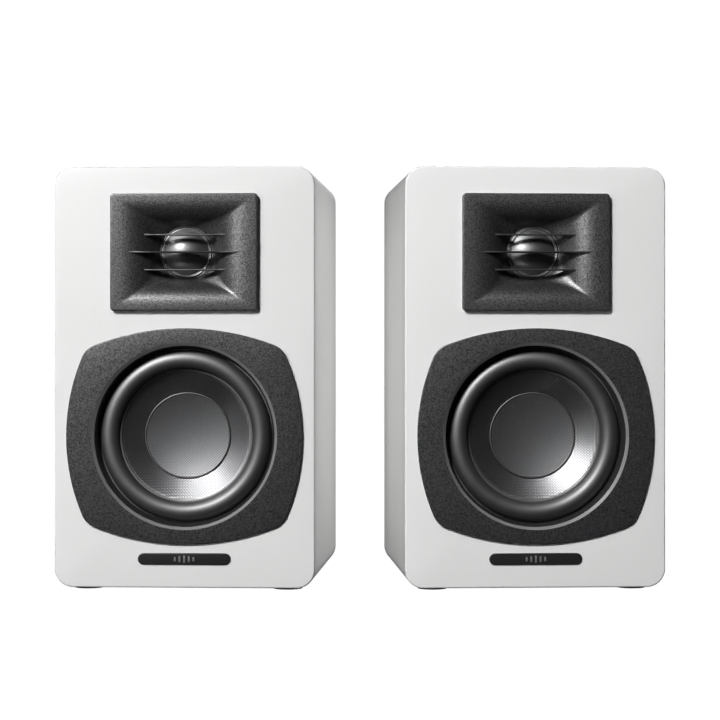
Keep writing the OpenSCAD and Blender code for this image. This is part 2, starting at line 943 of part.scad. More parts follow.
module piece(side, name) {
    speaker(side) {
        if (name == "cabinet") cabinet();
        if (name == "baffle") baffle();
        if (name == "rear_panel") rear_panel(side);
        if (name == "feet") feet();
        if (name == "badge") badge();
        if (name == "port_tube") port_tube();
        if (name == "screws") screws(side);
        if (name == "horn") horn();
        if (name == "horn_vanes") horn_vanes();
        if (name == "tweeter_ring") tweeter_ring();
        if (name == "tweeter_dome") tweeter_dome();
        if (name == "tweeter_coil") tweeter_coil();
        if (name == "tweeter_magnet") tweeter_magnet();
        if (name == "woofer_trim") woofer_trim();
        if (name == "woofer_basket") woofer_basket();
        if (name == "woofer_surround") woofer_surround();
        if (name == "woofer_cone") woofer_cone();
        if (name == "dust_cap") dust_cap();
        if (name == "woofer_coil") woofer_coil();
        if (name == "spider") spider();
        if (name == "woofer_magnet") woofer_magnet();
        if (name == "woofer_yoke") woofer_yoke();
        if (name == "terminal_base") terminal_base(side);
        if (name == "red_lever") lever(side, 1, "firebrick");
        if (name == "black_lever") lever(side, -1, "black");
        if (name == "amp_panel") amp_panel();
        if (name == "amp_board") amp_board();
        if (name == "potentiometer") potentiometer();
        if (name == "knob_shaft") knob_shaft();
        if (name == "volume_knob") volume_knob();
        if (name == "pair_button") pair_button();
        if (name == "status_light") status_light();
        if (name == "phono_sockets") phono_sockets();
        if (name == "jack_socket") jack_socket();
        if (name == "power_socket") power_socket();
    }
}

for (side = SIDES, name = PIECES)
    piece(side, name);
for (name = POWERED)
    piece("right", name);
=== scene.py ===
"""The looks of a pair of powered desktop speakers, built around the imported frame.

Every shape is made in its speaker's own axes: the front face is at y 0, the rear is towards +y,
the table is at z 0 and x runs to the right as seen from the front. Lengths are in metres.
"""

import json
import math
from functools import partial

import bmesh
import bpy
import numpy as np
from bpy.props import FloatProperty, FloatVectorProperty, IntProperty, PointerProperty
from mathutils import Matrix, Vector


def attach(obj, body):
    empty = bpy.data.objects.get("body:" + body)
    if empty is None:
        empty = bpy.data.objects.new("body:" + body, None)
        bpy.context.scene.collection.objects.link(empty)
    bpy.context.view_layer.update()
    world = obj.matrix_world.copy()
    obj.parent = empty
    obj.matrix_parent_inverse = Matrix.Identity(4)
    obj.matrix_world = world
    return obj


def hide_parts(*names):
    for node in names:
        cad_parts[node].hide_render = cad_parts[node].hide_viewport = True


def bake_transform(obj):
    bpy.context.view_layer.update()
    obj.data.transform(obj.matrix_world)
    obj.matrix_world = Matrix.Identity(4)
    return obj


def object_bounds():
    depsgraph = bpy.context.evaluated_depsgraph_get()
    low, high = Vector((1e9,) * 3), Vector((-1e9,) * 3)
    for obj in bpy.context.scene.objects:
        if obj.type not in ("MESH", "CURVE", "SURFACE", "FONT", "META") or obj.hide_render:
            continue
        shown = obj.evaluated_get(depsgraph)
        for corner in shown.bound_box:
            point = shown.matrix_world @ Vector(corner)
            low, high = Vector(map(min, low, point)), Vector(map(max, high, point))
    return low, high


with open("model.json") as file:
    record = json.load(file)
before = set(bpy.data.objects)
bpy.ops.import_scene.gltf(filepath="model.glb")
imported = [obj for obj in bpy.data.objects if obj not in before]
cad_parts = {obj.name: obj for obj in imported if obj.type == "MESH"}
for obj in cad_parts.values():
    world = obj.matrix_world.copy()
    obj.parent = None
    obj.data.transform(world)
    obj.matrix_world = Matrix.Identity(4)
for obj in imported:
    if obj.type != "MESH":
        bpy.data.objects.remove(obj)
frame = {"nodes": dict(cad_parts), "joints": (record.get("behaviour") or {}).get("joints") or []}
CAD_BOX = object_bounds()

bl_info = {
    "name": "Desktop speaker pair",
    "version": (1, 0, 0),
    "blender": (4, 5, 0),
    "location": "3D View > Sidebar > Speakers",
    "description": "Builds the visible pieces and finishes of a pair of powered desktop speakers",
    "category": "Object",
}

MM = 0.001
SIDES = ("left", "right")

# Sizes of the frame that the boxes of its nodes don't give
WOOFER_SEAT = 9.7 * MM
WOOFER_FLANGE = 1.6 * MM
AMP_PLATE_LAP = 16 * MM
TERMINAL_LAP = 5.4 * MM
PORT_WALL = 2.5 * MM
SCREW_SHANK = 1.45 * MM
SCREW_HEAD = 1.2 * MM
CONE_NECK = 12.9 * MM
LEVER_OFFSET = 9 * MM


# Settings

def power(label, text, watts):
    """The power of a light, or of each light of one kind."""
    return FloatProperty(name=label, description=text, default=watts, min=0, unit="POWER")


def length(label, text, millimetres, least=0.01, most=200.0):
    """A length that the sidebar shows in the scene's units."""
    return FloatProperty(
        name=label, description=text, default=millimetres * MM, min=least * MM, max=most * MM,
        unit="LENGTH", precision=5,
    )


def colour(label, text, value):
    """A paint or plastic colour."""
    return FloatVectorProperty(
        name=label, description=text, default=value, size=3, min=0.0, max=1.0, subtype="COLOR",
    )


class SpeakerSizes(bpy.types.PropertyGroup):
    """Sizes of the visible pieces that the frame doesn't fix."""

    corner_radius: length("Corner radius", "Radius of the cabinet's four long corners", 10)
    cabinet_edge: length("Cabinet edge", "Rounding of the cabinet's front and rear edges", 1)
    paint_skin: length("Paint skin", "Thickness of the sleeve's paint where it covers the front board", 0.15)
    wall_gap: length("Panel gap", "Gap around a panel or plate that is set in a cut-out", 0.3)
    moulding_edge: length("Moulding edge", "Rounding of the outer edges of moulded pieces", 0.6)
    horn_corner: length("Horn corner", "Corner radius of the horn's front plate", 2)
    horn_rim: length("Horn rim", "Width of the rim around the horn's mouth", 1.6)
    horn_ledge: length("Horn ledge", "How far the horn's plate laps over the baffle", 3.7)
    throat_radius: length("Throat radius", "Radius of the horn's round throat", 14)
    side_bow: length("Side bow", "Radius of the trim's bowed left and right edges", 108)
    top_bow: length("Top bow", "Radius of the trim's bowed top and bottom edges", 134, most=400)
    trim_corner: length("Trim corner", "Corner radius of the woofer's trim", 12)
    opening_radius: length("Opening radius", "Radius of the opening at the front of the trim", 50)
    lip_width: length("Lip width", "Width of the bright lip inside the trim", 1.5)
    roll_radius: length("Roll radius", "Radius of the rubber roll's section", 5.2)
    rubber: length("Rubber", "Thickness of the rubber surround", 0.7)
    port_radius: length("Port radius", "Inner radius of the bass port", 15)
    port_flare: length("Port flare", "Rounding of the port's mouth", 4.5)
    badge_bars: IntProperty(
        name="Badge bars", description="Raised bars on the badge", default=5, min=3, max=9,
    )
    knob_ribs: IntProperty(
        name="Knob ribs", description="Grip flutes around the volume knob", default=24, min=8,
    )


class SpeakerColours(bpy.types.PropertyGroup):
    """Base colours of the finishes."""

    paint: colour("Paint", "Satin paint of the cabinet and baffle", (0.86, 0.86, 0.855))
    board: colour("Rear board", "Vinyl wrap of the rear panel", (0.022, 0.022, 0.023))
    moulding: colour("Moulding", "Spark-textured plastic of horn and trim", (0.014, 0.014, 0.015))
    smooth: colour("Smooth plastic", "Smooth satin plastic of vanes, rings and port", (0.022, 0.022, 0.024))
    rubber: colour("Rubber", "Rubber of the surround and feet", (0.007, 0.007, 0.0075))
    weave: colour("Cone weave", "Coated cloth of the cone and dust cap", (0.13, 0.13, 0.133))
    silk: colour("Dome silk", "Coated silk of the tweeter dome", (0.03, 0.03, 0.032))
    panel: colour("Amplifier panel", "Black anodised aluminium", (0.018, 0.018, 0.02))
    red: colour("Red", "Red terminal and socket plastic", (0.5, 0.02, 0.02))
    floor: colour("Floor", "Pale floor that the speakers stand on", (0.12, 0.12, 0.12))


class StageSettings(bpy.types.PropertyGroup):
    """The camera and the lights."""

    distance: length("Camera distance", "Distance from the front faces to the camera", 1204, most=5000)
    height: length("Camera height", "Height of the level camera above the table", 127.5, most=2000)
    lens: FloatProperty(
        name="Lens", description="Focal length", default=112.7, min=20, max=300, unit="CAMERA",
    )
    lift: FloatProperty(
        name="Frame lift", description="Share of the frame that the horizon sits above the middle",
        default=0.0111, min=0, max=0.1, subtype="FACTOR",
    )
    key: power("Key", "Power of each upper left light, which gives no sheen", 41)
    gloss: power("Gloss", "Power of each light that only shows as a sheen", 9)
    left: power("Left", "Power of the low left light", 3)
    side: power("Side", "Power of each light on the cabinets' sides", 14)
    rear: power("Rear", "Power of the rear light", 24)
    room: FloatProperty(
        name="Room", description="Strength of the even light from all around", default=0.025, min=0,
    )


# Places taken from the frame

class Box:
    """Lowest and highest corner of a set of points."""

    def __init__(self, points):
        self.lo = Vector(points.min(0))
        self.hi = Vector(points.max(0))
        self.mid = (self.lo + self.hi) / 2
        self.size = self.hi - self.lo


def node_points(name):
    """The points of a CAD node, one row each."""
    mesh = frame["nodes"][name].data
    flat = np.empty(len(mesh.vertices) * 3)
    mesh.vertices.foreach_get("co", flat)
    return flat.reshape(-1, 3)


def moved(points, matrix):
    """Rows of points, moved by a matrix."""
    table = np.array(matrix)
    return points @ table[:3, :3].T + table[:3, 3]


def speaker_matrix(side):
    """Place of one speaker's own axes: the middle of its front face, on the table."""
    axis = next(Vector(j["axis"]) for j in frame["joints"] if j["name"] == f"{side}_woofer_travel")
    turn = Matrix.Rotation(math.atan2(axis.x, -axis.y), 4, "Z")
    front = Box(moved(node_points(f"{side}_baffle"), turn.inverted()))
    return Matrix.Translation(turn @ Vector((front.mid.x, front.lo.y, 0))) @ turn


PLACES = {side: speaker_matrix(side) for side in SIDES}


def local_box(side, node):
    """Box of a CAD node in its speaker's own axes."""
    return Box(moved(node_points(node), PLACES[side].inverted()))


def loose_parts(side, node):
    """Points of each separate solid of a CAD node, in its speaker's own axes."""
    work = bmesh.new()
    work.from_mesh(frame["nodes"][node].data)
    bmesh.ops.remove_doubles(work, verts=work.verts, dist=0.001 * MM)
    inverse = PLACES[side].inverted()
    left = set(work.verts)
    parts = []
    while left:
        stack = [left.pop()]
        found = []
        while stack:
            vert = stack.pop()
            found.append(inverse @ vert.co)
            for edge in vert.link_edges:
                other = edge.other_vert(vert)
                if other in left:
                    left.remove(other)
                    stack.append(other)
        parts.append(np.array(found))
    work.free()
    return sorted(parts, key=lambda p: tuple(np.round(p.min(0), 5)))


# Outlines, drawn as seen from the front at depth y

def circle(radius, y, centre=(0.0, 0.0), count=96):
    turns = (2 * math.pi * i / count for i in range(count))
    return [(centre[0] + radius * math.cos(a), y, centre[1] + radius * math.sin(a)) for a in turns]


def arc_points(centre, radius, start, end, steps):
    turns = (start + (end - start) * i / steps for i in range(steps + 1))
    return [(centre[0] + radius * math.cos(a), centre[1] + radius * math.sin(a)) for a in turns]


def rounded_rect(width, height, radius, y, centre=(0.0, 0.0), steps=8, spans=1):
    """Rounded rectangle; each straight side is split into spans."""
    radius = max(radius, 0.02 * MM)
    corners = ((1, 1), (-1, 1), (-1, -1), (1, -1))
    quarters = []
    for turn, (sx, sz) in enumerate(corners):
        middle = (sx * (width / 2 - radius), sz * (height / 2 - radius))
        quarters.append(arc_points(middle, radius, turn * math.pi / 2, (turn + 1) * math.pi / 2, steps))
    flat = []
    for this, after in zip(quarters, quarters[1:] + quarters[:1]):
        flat += this
        a, b = Vector(this[-1]), Vector(after[0])
        flat += [tuple(a.lerp(b, i / spans)) for i in range(1, spans)]
    return [(centre[0] + x, y, centre[1] + z) for x, z in flat]


def bowed_rect(width, height, side_bow, top_bow, corner, y, centre, steps=10):
    """Rectangle whose sides bow outwards, with round corners that meet the bows."""
    side_mid = Vector((width / 2 - side_bow, 0))
    top_mid = Vector((0, height / 2 - top_bow))
    between = top_mid - side_mid
    gap = between.length
    along = between / gap
    reach = side_bow - corner
    u = (reach ** 2 - (top_bow - corner) ** 2 + gap ** 2) / (2 * gap)
    v = math.sqrt(reach ** 2 - u ** 2)
    across = Vector((along.y, -along.x))
    if across.y < 0:
        across = -across
    middle = side_mid + u * along + v * across
    low = math.atan2(middle.y, middle.x - side_mid.x)
    high = math.atan2(middle.y - top_mid.y, middle.x)
    quarter = arc_points(side_mid, side_bow, 0, low, steps)
    quarter += arc_points(middle, corner, low, high, steps)[1:]
    quarter += arc_points(top_mid, top_bow, high, math.pi / 2, steps)[1:]
    flat = list(quarter)
    flat += [(-x, z) for x, z in reversed(quarter[:-1])]
    flat += [(-x, -z) for x, z in quarter[1:]]
    flat += [(x, -z) for x, z in reversed(quarter[1:-1])]
    return [(centre[0] + x, y, centre[1] + z) for x, z in flat]


def rounding(radius, steps=5):
    """(inset, depth) pairs around a quarter round, from the side of a piece to its face."""
    if radius <= 0:
        return [(0.0, 0.0)]
    turns = [math.pi / 2 * i / steps for i in range(steps + 1)]
    return [(radius * (1 - math.cos(a)), radius * (1 - math.sin(a))) for a in turns]


class Shell:
    """A closed mesh grown from rings of points."""

    def __init__(self):
        self.bm = bmesh.new()

    def ring(self, points):
        return [self.bm.verts.new(p) for p in points]

    def bridge(self, a, b):
        """Smooth faces between two rings; either ring may be a single point."""
        count = max(len(a), len(b))
        for i in range(count):
            j = (i + 1) % count
            corners = [a[i % len(a)], a[j % len(a)], b[j % len(b)], b[i % len(b)]]
            face = self.bm.faces.new(dict.fromkeys(corners))
            face.smooth = True

    def skin(self, rings, closed=False):
        made = [self.ring(points) for points in rings]
        for a, b in zip(made, made[1:]):
            self.bridge(a, b)
        if closed:
            self.bridge(made[-1], made[0])
        return made

    def fill(self, *rings):
        """A flat face with holes: the first ring is the outside."""
        if len(rings) == 1:
            self.bm.faces.new(rings[0]).smooth = False
            return
        edges = []
        for ring in rings:
            for a, b in zip(ring, ring[1:] + ring[:1]):
                edges.append(self.bm.edges.get((a, b)) or self.bm.edges.new((a, b)))
        made = bmesh.ops.triangle_fill(self.bm, use_beauty=True, use_dissolve=False, edges=edges)
        for part in made["geom"]:
            if isinstance(part, bmesh.types.BMFace):
                part.smooth = False

    def rod(self, rings):
        """A closed bar: rings joined by a skin, with a flat face at each end."""
        made = self.skin(rings)
        self.fill(made[0])
        self.fill(made[-1])

    def turned(self, profile, centre=(0.0, 0.0), count=96, closed=False):
        """Turns (radius, depth) points about an axis that runs from front to back."""
        rings = []
        for radius, y in profile:
            rings.append([(centre[0], y, centre[1])] if radius <= 0 else circle(radius, y, centre, count))
        return self.skin(rings, closed)

    def slab(self, outline, front, back, front_edge=0.0, back_edge=0.0, holes=()):
        """A plate with rounded edges; outline(inset, depth) gives its ring, and a hole is a list of rings."""
        levels = [outline(i, back - d) for i, d in reversed(rounding(back_edge))]
        levels += [outline(i, front + d) for i, d in rounding(front_edge)]
        outer = self.skin(levels)
        cuts = [self.skin(rings) for rings in holes]
        self.fill(outer[-1], *[cut[0] for cut in cuts])
        self.fill(outer[0], *[cut[-1] for cut in cuts])

    def mesh(self, name):
        bmesh.ops.remove_doubles(self.bm, verts=self.bm.verts, dist=0.0005 * MM)
        bmesh.ops.recalc_face_normals(self.bm, faces=self.bm.faces)
        mesh = bpy.data.meshes.new(name)
        self.bm.to_mesh(mesh)
        self.bm.free()
        return mesh


def cut(outline, front, back, front_edge=0.0, back_edge=0.0):
    """Rings of a hole through a plate, from its front to its back, with rounded edges."""
    rings = [outline(-i, front + d) for i, d in reversed(rounding(front_edge))]
    rings += [outline(-i, back - d) for i, d in rounding(back_edge)]
    return rings


def pit(outline, face, floor, edge=0.0):
    """Rings of a blind pocket in the rear face of a plate, from its floor to its edge."""
    return [outline(0, floor)] + [outline(-i, face - d) for i, d in rounding(edge)]


def place_piece(name, shell, side, paint, slot, crease=38):
    """Links the shell's mesh as an object in its speaker's axes; nothing carries it yet."""
    mesh = shell.mesh(name)
    mesh.materials.append(finish(paint))
    mesh.set_sharp_from_angle(angle=math.radians(crease))
    obj = bpy.data.objects.new(name, mesh)
    bpy.context.scene.collection.objects.link(obj)
    obj.matrix_world = PLACES[side]
    collection_for(f"{side} speaker").objects.link(obj)
    return obj


def add_piece(name, shell, side, body, paint, slot, stands_for=(), crease=38):
    """A finished piece that rides on a body and may stand for CAD nodes."""
    obj = place_piece(name, shell, side, paint, slot, crease)
    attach(obj, body)
    if stands_for:
        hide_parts(*stands_for)
    return obj


def add_side_piece(side, name, shell, body, paint, slot, *stands_for, crease=38):
    """A piece that one speaker's own body carries: every name starts with the side."""
    nodes = [f"{side}_{node}" for node in stands_for]
    return add_piece(f"{side}_{name}", shell, side, f"{side}_{body}", paint, slot, nodes, crease)


def add_amp_piece(name, shell, paint, slot, *stands_for, body="right_speaker"):
    """A piece at the back of the powered speaker."""
    return add_piece(name, shell, "right", body, paint, slot, stands_for)


def soften(obj, width):
    """Rounds the edges of a piece whose faces are few and large."""
    modifier = obj.modifiers.new("Rounded edges", "BEVEL")
    modifier.width = width
    modifier.segments = 2
    modifier.limit_method = "ANGLE"
    modifier.angle_limit = math.radians(40)
    modifier.harden_normals = True


def collection_for(name):
    """A group of pieces that has lights of its own; it isn't part of the scene's own tree."""
    return bpy.data.collections.get(name) or bpy.data.collections.new(name)


def centre_of(box):
    """Middle of a box as seen from the front."""
    return (box.mid.x, box.mid.z)


# Finishes

class Finish:
    """One procedural material. Pattern sizes are in metres."""

    def __init__(self, name, base, roughness, metallic=0.0, specular=0.5):
        """The base is a colour, or the name of one of the sidebar's colours."""
        if isinstance(base, str):
            base = getattr(bpy.context.scene.speaker_colours, base)
        self.base = tuple(base)[:3]
        self.material = bpy.data.materials.new(name)
        self.material.use_nodes = True
        self.tree = self.material.node_tree
        self.shader = self.tree.nodes["Principled BSDF"]
        self.set("Base Color", (*self.base, 1))
        self.set("Roughness", roughness)
        self.set("Metallic", metallic)
        self.set("Specular IOR Level", specular)
        self.coords = self.node("ShaderNodeTexCoord").outputs["Object"]
        self.normal = None

    def set(self, socket, value):
        self.shader.inputs[socket].default_value = value
        return self

    def node(self, kind, **settings):
        made = self.tree.nodes.new(kind)
        for key, value in settings.items():
            setattr(made, key, value)
        return made

    def feed(self, socket, source):
        """Plugs a number or another node's output into a socket."""
        if isinstance(source, bpy.types.NodeSocket):
            self.tree.links.new(source, socket)
        else:
            socket.default_value = source

    def mapped(self, turn=(0, 0, 0), stretch=(1, 1, 1)):
        made = self.node("ShaderNodeMapping")
        made.inputs["Rotation"].default_value = [math.radians(a) for a in turn]
        made.inputs["Scale"].default_value = stretch
        self.feed(made.inputs["Vector"], self.coords)
        return made.outputs["Vector"]

    def noise(self, size, detail=2.0, blur=0.5, coords=None):
        """Cloudy pattern whose patches are about that size."""
        made = self.node("ShaderNodeTexNoise")
        self.feed(made.inputs["Vector"], coords or self.coords)
        made.inputs["Scale"].default_value = 1 / size
        made.inputs["Detail"].default_value = detail
        made.inputs["Roughness"].default_value = blur
        return made.outputs[0]

    def cells(self, size):
        """Distance from the middle of the nearest cell."""
        made = self.node("ShaderNodeTexVoronoi")
        self.feed(made.inputs["Vector"], self.coords)
        made.inputs["Scale"].default_value = 1 / size
        return made.outputs["Distance"]

    def bands(self, size, coords, direction="X"):
        """Even bands, one per size."""
        made = self.node("ShaderNodeTexWave", wave_type="BANDS", bands_direction=direction)
        self.feed(made.inputs["Vector"], coords)
        made.inputs["Scale"].default_value = math.pi / (10 * size)
        return made.outputs["Fac"]

    def math(self, operation, a, b=0.0):
        made = self.node("ShaderNodeMath", operation=operation)
        self.feed(made.inputs[0], a)
        self.feed(made.inputs[1], b)
        return made.outputs[0]

    def mixed(self, a, share_a, b, share_b):
        """The sum of two patterns, each at its own share."""
        return self.math("ADD", self.math("MULTIPLY", a, share_a), self.math("MULTIPLY", b, share_b))

    def spread(self, value, low, high, start=0.0, end=1.0):
        made = self.node("ShaderNodeMapRange")
        for name, number in (("From Min", start), ("From Max", end), ("To Min", low), ("To Max", high)):
            made.inputs[name].default_value = number
        self.feed(made.inputs["Value"], value)
        return made.outputs[0]

    def blend(self, factor, a, b):
        made = self.node("ShaderNodeMix", data_type="FLOAT")
        self.feed(made.inputs[0], factor)
        self.feed(made.inputs[2], a)
        self.feed(made.inputs[3], b)
        return made.outputs[0]

    def tone(self, factor, dark, light):
        """Base colour that runs from dark to light shares of the base."""
        ends = [tuple(min(1.0, c * share) for c in self.base) for share in (dark, light)]
        return self.two_tone(factor, *ends)

    def two_tone(self, factor, first, second):
        made = self.node("ShaderNodeMix", data_type="RGBA")
        self.feed(made.inputs[0], factor)
        made.inputs[6].default_value = (*first, 1)
        made.inputs[7].default_value = (*second, 1)
        self.tree.links.new(made.outputs[2], self.shader.inputs["Base Color"])
        return self

    def rough(self, value, low, high):
        self.feed(self.shader.inputs["Roughness"], self.spread(value, low, high))
        return self

    def bump(self, height, depth):
        made = self.node("ShaderNodeBump")
        made.inputs["Distance"].default_value = depth
        self.feed(made.inputs["Height"], height)
        if self.normal:
            self.feed(made.inputs["Normal"], self.normal)
        self.normal = made.outputs["Normal"]
        self.feed(self.shader.inputs["Normal"], self.normal)
        return self

    def weave(self, thread):
        """Height of a plain weave on the diagonal of the front view."""
        face = self.mapped(turn=(0, 45, 0))
        across = self.bands(thread, face, "X")
        along = self.bands(thread, face, "Z")
        squares = self.node("ShaderNodeTexChecker")
        self.feed(squares.inputs["Vector"], self.mapped(turn=(0, 45, 0), stretch=(1, 0, 1)))
        squares.inputs["Scale"].default_value = 1 / thread
        return self.blend(squares.outputs["Fac"], across, along)


def spark_texture(name, roughness):
    """Moulded plastic with the fine pitted grain of a spark-eroded mould."""
    made = Finish(name, "moulding", roughness)
    grain = made.noise(0.75 * MM, 3.0, 0.7)
    pits = made.cells(0.55 * MM)
    clouds = made.noise(26 * MM, 2.0)
    sharp = made.spread(grain, 0.0, 1.0, 0.33, 0.67)
    made.tone(made.mixed(sharp, 1.4, clouds, 0.3), 0.45, 2.0)
    made.feed(made.shader.inputs["Specular IOR Level"], made.spread(sharp, 0.12, 0.9))
    made.rough(pits, roughness - 0.05, roughness + 0.08)
    made.bump(pits, 0.04 * MM)
    return made.material


def satin_plastic(name, base, roughness, grain=0.02 * MM):
    """Smooth moulded plastic with a faint flow pattern and tiny scuffs."""
    made = Finish(name, base, roughness)
    flow = made.noise(9 * MM, 3.0, 0.6)
    fine = made.noise(0.5 * MM, 2.0)
    made.tone(flow, 0.8, 1.25)
    made.rough(made.noise(2.5 * MM, 4.0, 0.7), roughness - 0.06, roughness + 0.1)
    made.bump(fine, grain)
    return made.material


def white_paint(name):
    made = Finish(name, "paint", 0.42, specular=0.12)
    peel = made.noise(1.3 * MM, 2.0, 0.55)
    grit = made.noise(0.45 * MM, 1.0)
    clouds = made.noise(60 * MM, 2.0)
    made.tone(made.mixed(clouds, 0.5, grit, 0.5), 0.965, 1.02)
    made.rough(peel, 0.36, 0.5)
    made.bump(peel, 0.03 * MM)
    made.bump(grit, 0.008 * MM)
    return made.material


def vinyl_wrap(name):
    """Black vinyl over board, with a pressed leather-like grain."""
    made = Finish(name, "board", 0.5, specular=0.4)
    creases = made.cells(1.4 * MM)
    fine = made.noise(0.5 * MM, 3.0, 0.6)
    made.tone(made.noise(30 * MM, 3.0), 0.75, 1.5)
    made.rough(creases, 0.42, 0.62)
    made.bump(creases, 0.12 * MM)
    made.bump(fine, 0.02 * MM)
    return made.material


def print_ink(name):
    """Pale ink on the amplifier panel, a little worn."""
    made = Finish(name, (0.6, 0.6, 0.6), 0.6)
    wear = made.noise(0.8 * MM, 4.0, 0.7)
    made.tone(wear, 0.7, 1.1)
    made.rough(wear, 0.5, 0.7)
    return made.material


def badge_satin(name):
    made = Finish(name, (0.014, 0.014, 0.015), 0.3)
    brushed = made.noise(0.25 * MM, 2.0, coords=made.mapped(stretch=(0.03, 1, 1)))
    made.tone(brushed, 0.7, 1.6)
    made.rough(brushed, 0.24, 0.4)
    made.bump(brushed, 0.01 * MM)
    return made.material


def badge_grey(name):
    made = Finish(name, (0.3, 0.3, 0.305), 0.35, metallic=0.6)
    brushed = made.noise(0.25 * MM, 2.0, coords=made.mapped(stretch=(0.03, 1, 1)))
    made.tone(brushed, 0.8, 1.2)
    made.rough(brushed, 0.28, 0.45)
    return made.material


def rubber(name):
    """Satin butyl rubber with a thin bloom."""
    made = Finish(name, "rubber", 0.42, specular=1.0)
    bloom = made.noise(7 * MM, 4.0, 0.6)
    made.tone(bloom, 0.8, 1.5)
    made.rough(bloom, 0.48, 0.56)
    made.bump(made.noise(0.6 * MM, 2.0), 0.008 * MM)
    return made.material


def foot_rubber(name):
    made = Finish(name, "rubber", 0.75, specular=0.3)
    dust = made.noise(3 * MM, 5.0, 0.7)
    made.tone(dust, 0.8, 2.0)
    made.rough(dust, 0.65, 0.9)
    made.bump(made.noise(0.4 * MM, 2.0), 0.04 * MM)
    return made.material


def cone_cloth(name):
    """Coated plain weave, laid on the diagonal."""
    made = Finish(name, "weave", 0.38, metallic=0.97, specular=0.6)
    threads = made.weave(1.05 * MM)
    uneven = made.noise(3 * MM, 3.0)
    made.tone(made.math("MULTIPLY", threads, made.spread(uneven, 0.75, 1.1)), 0.55, 1.3)
    made.rough(threads, 0.46, 0.38)
    made.bump(threads, 0.07 * MM)
    return made.material


def dome_silk(name):
    """Fine silk under a clear damping coat."""
    made = Finish(name, "silk", 0.42, specular=0.5)
    made.set("Coat Weight", 0.75)
    made.set("Coat Roughness", 0.33)
    threads = made.weave(0.62 * MM)
    made.tone(threads, 0.55, 1.35)
    made.rough(threads, 0.5, 0.36)
    made.bump(threads, 0.045 * MM)
    return made.material


def spider_cloth(name):
    made = Finish(name, (0.5, 0.34, 0.1), 0.7, specular=0.3)
    threads = made.weave(0.8 * MM)
    made.tone(made.math("MULTIPLY", threads, made.spread(made.noise(6 * MM, 3.0), 0.7, 1.1)), 0.5, 1.2)
    made.rough(threads, 0.6, 0.8)
    made.bump(threads, 0.06 * MM)
    return made.material


def brushed_metal(name, base, roughness, stretch, metallic=1.0):
    """Metal with fine lines drawn along one axis."""
    made = Finish(name, base, roughness, metallic=metallic)
    lines = made.noise(0.3 * MM, 3.0, coords=made.mapped(stretch=stretch))
    clouds = made.noise(12 * MM, 3.0)
    made.tone(made.mixed(lines, 0.6, clouds, 0.4), 0.75, 1.2)
    made.rough(lines, roughness - 0.08, roughness + 0.12)
    made.bump(lines, 0.01 * MM)
    return made.material


def basket_coat(name):
    """Black powder coat over pressed steel."""
    made = Finish(name, (0.03, 0.03, 0.031), 0.45)
    grit = made.noise(0.7 * MM, 3.0, 0.6)
    made.tone(made.noise(15 * MM, 3.0), 0.8, 1.4)
    made.rough(grit, 0.38, 0.56)
    made.bump(grit, 0.03 * MM)
    return made.material


def copper_wire(name):
    """Enamelled wire, wound in close turns about the front-to-back axis."""
    made = Finish(name, (0.7, 0.3, 0.12), 0.3, metallic=0.9)
    turns = made.bands(0.22 * MM, made.mapped(), "Y")
    made.tone(made.math("MULTIPLY", turns, made.spread(made.noise(2 * MM, 2.0), 0.8, 1.1)), 0.45, 1.15)
    made.rough(turns, 0.45, 0.25)
    made.bump(turns, 0.06 * MM)
    return made.material


def ferrite(name):
    made = Finish(name, (0.06, 0.057, 0.055), 0.6, specular=0.3)
    grit = made.noise(0.5 * MM, 4.0, 0.7)
    made.tone(grit, 0.6, 1.7)
    made.rough(grit, 0.5, 0.75)
    made.bump(grit, 0.05 * MM)
    return made.material


def circuit_board(name):
    """Green solder mask over square copper tracks."""
    made = Finish(name, (0.02, 0.12, 0.05), 0.32)
    tracks = made.node("ShaderNodeTexVoronoi", distance="MANHATTAN", feature="F1")
    made.feed(tracks.inputs["Vector"], made.mapped(stretch=(1, 0, 1)))
    tracks.inputs["Scale"].default_value = 1 / (5 * MM)
    ripples = made.math("FRACT", made.math("MULTIPLY", tracks.outputs["Distance"], 6.0))
    lines = made.math("GREATER_THAN", ripples, 0.6)
    made.two_tone(lines, (0.01, 0.085, 0.035), (0.03, 0.19, 0.08))
    made.rough(made.noise(3 * MM, 2.0), 0.26, 0.4)
    made.bump(lines, 0.03 * MM)
    return made.material


def light_lens(name):
    """Frosted lens that scatters a little cool light."""
    made = Finish(name, (0.62, 0.75, 0.95), 0.35)
    haze = made.noise(0.4 * MM, 3.0)
    made.tone(haze, 0.85, 1.1)
    made.rough(haze, 0.3, 0.5)
    made.set("Transmission Weight", 0.35)
    made.set("Emission Color", (0.5, 0.72, 1.0, 1))
    made.set("Emission Strength", 0.25)
    made.bump(haze, 0.02 * MM)
    return made.material


def pale_floor(name):
    """Pale paper that glows a little, so that shadows on it stay soft."""
    made = Finish(name, "floor", 0.85, specular=0.0)
    made.tone(made.noise(0.35, 2.0), 0.985, 1.0)
    made.set("Emission Color", (1, 1, 1, 1))
    made.set("Emission Strength", 1.0)
    return made.material


def bright_wall(name):
    """Evenly lit white backdrop."""
    made = Finish(name, (0.1, 0.1, 0.1), 1.0, specular=0.0)
    made.tone(made.noise(2.0, 1.0), 0.995, 1.0)
    made.set("Emission Color", (1, 1, 1, 1))
    made.set("Emission Strength", 1.02)
    return made.material


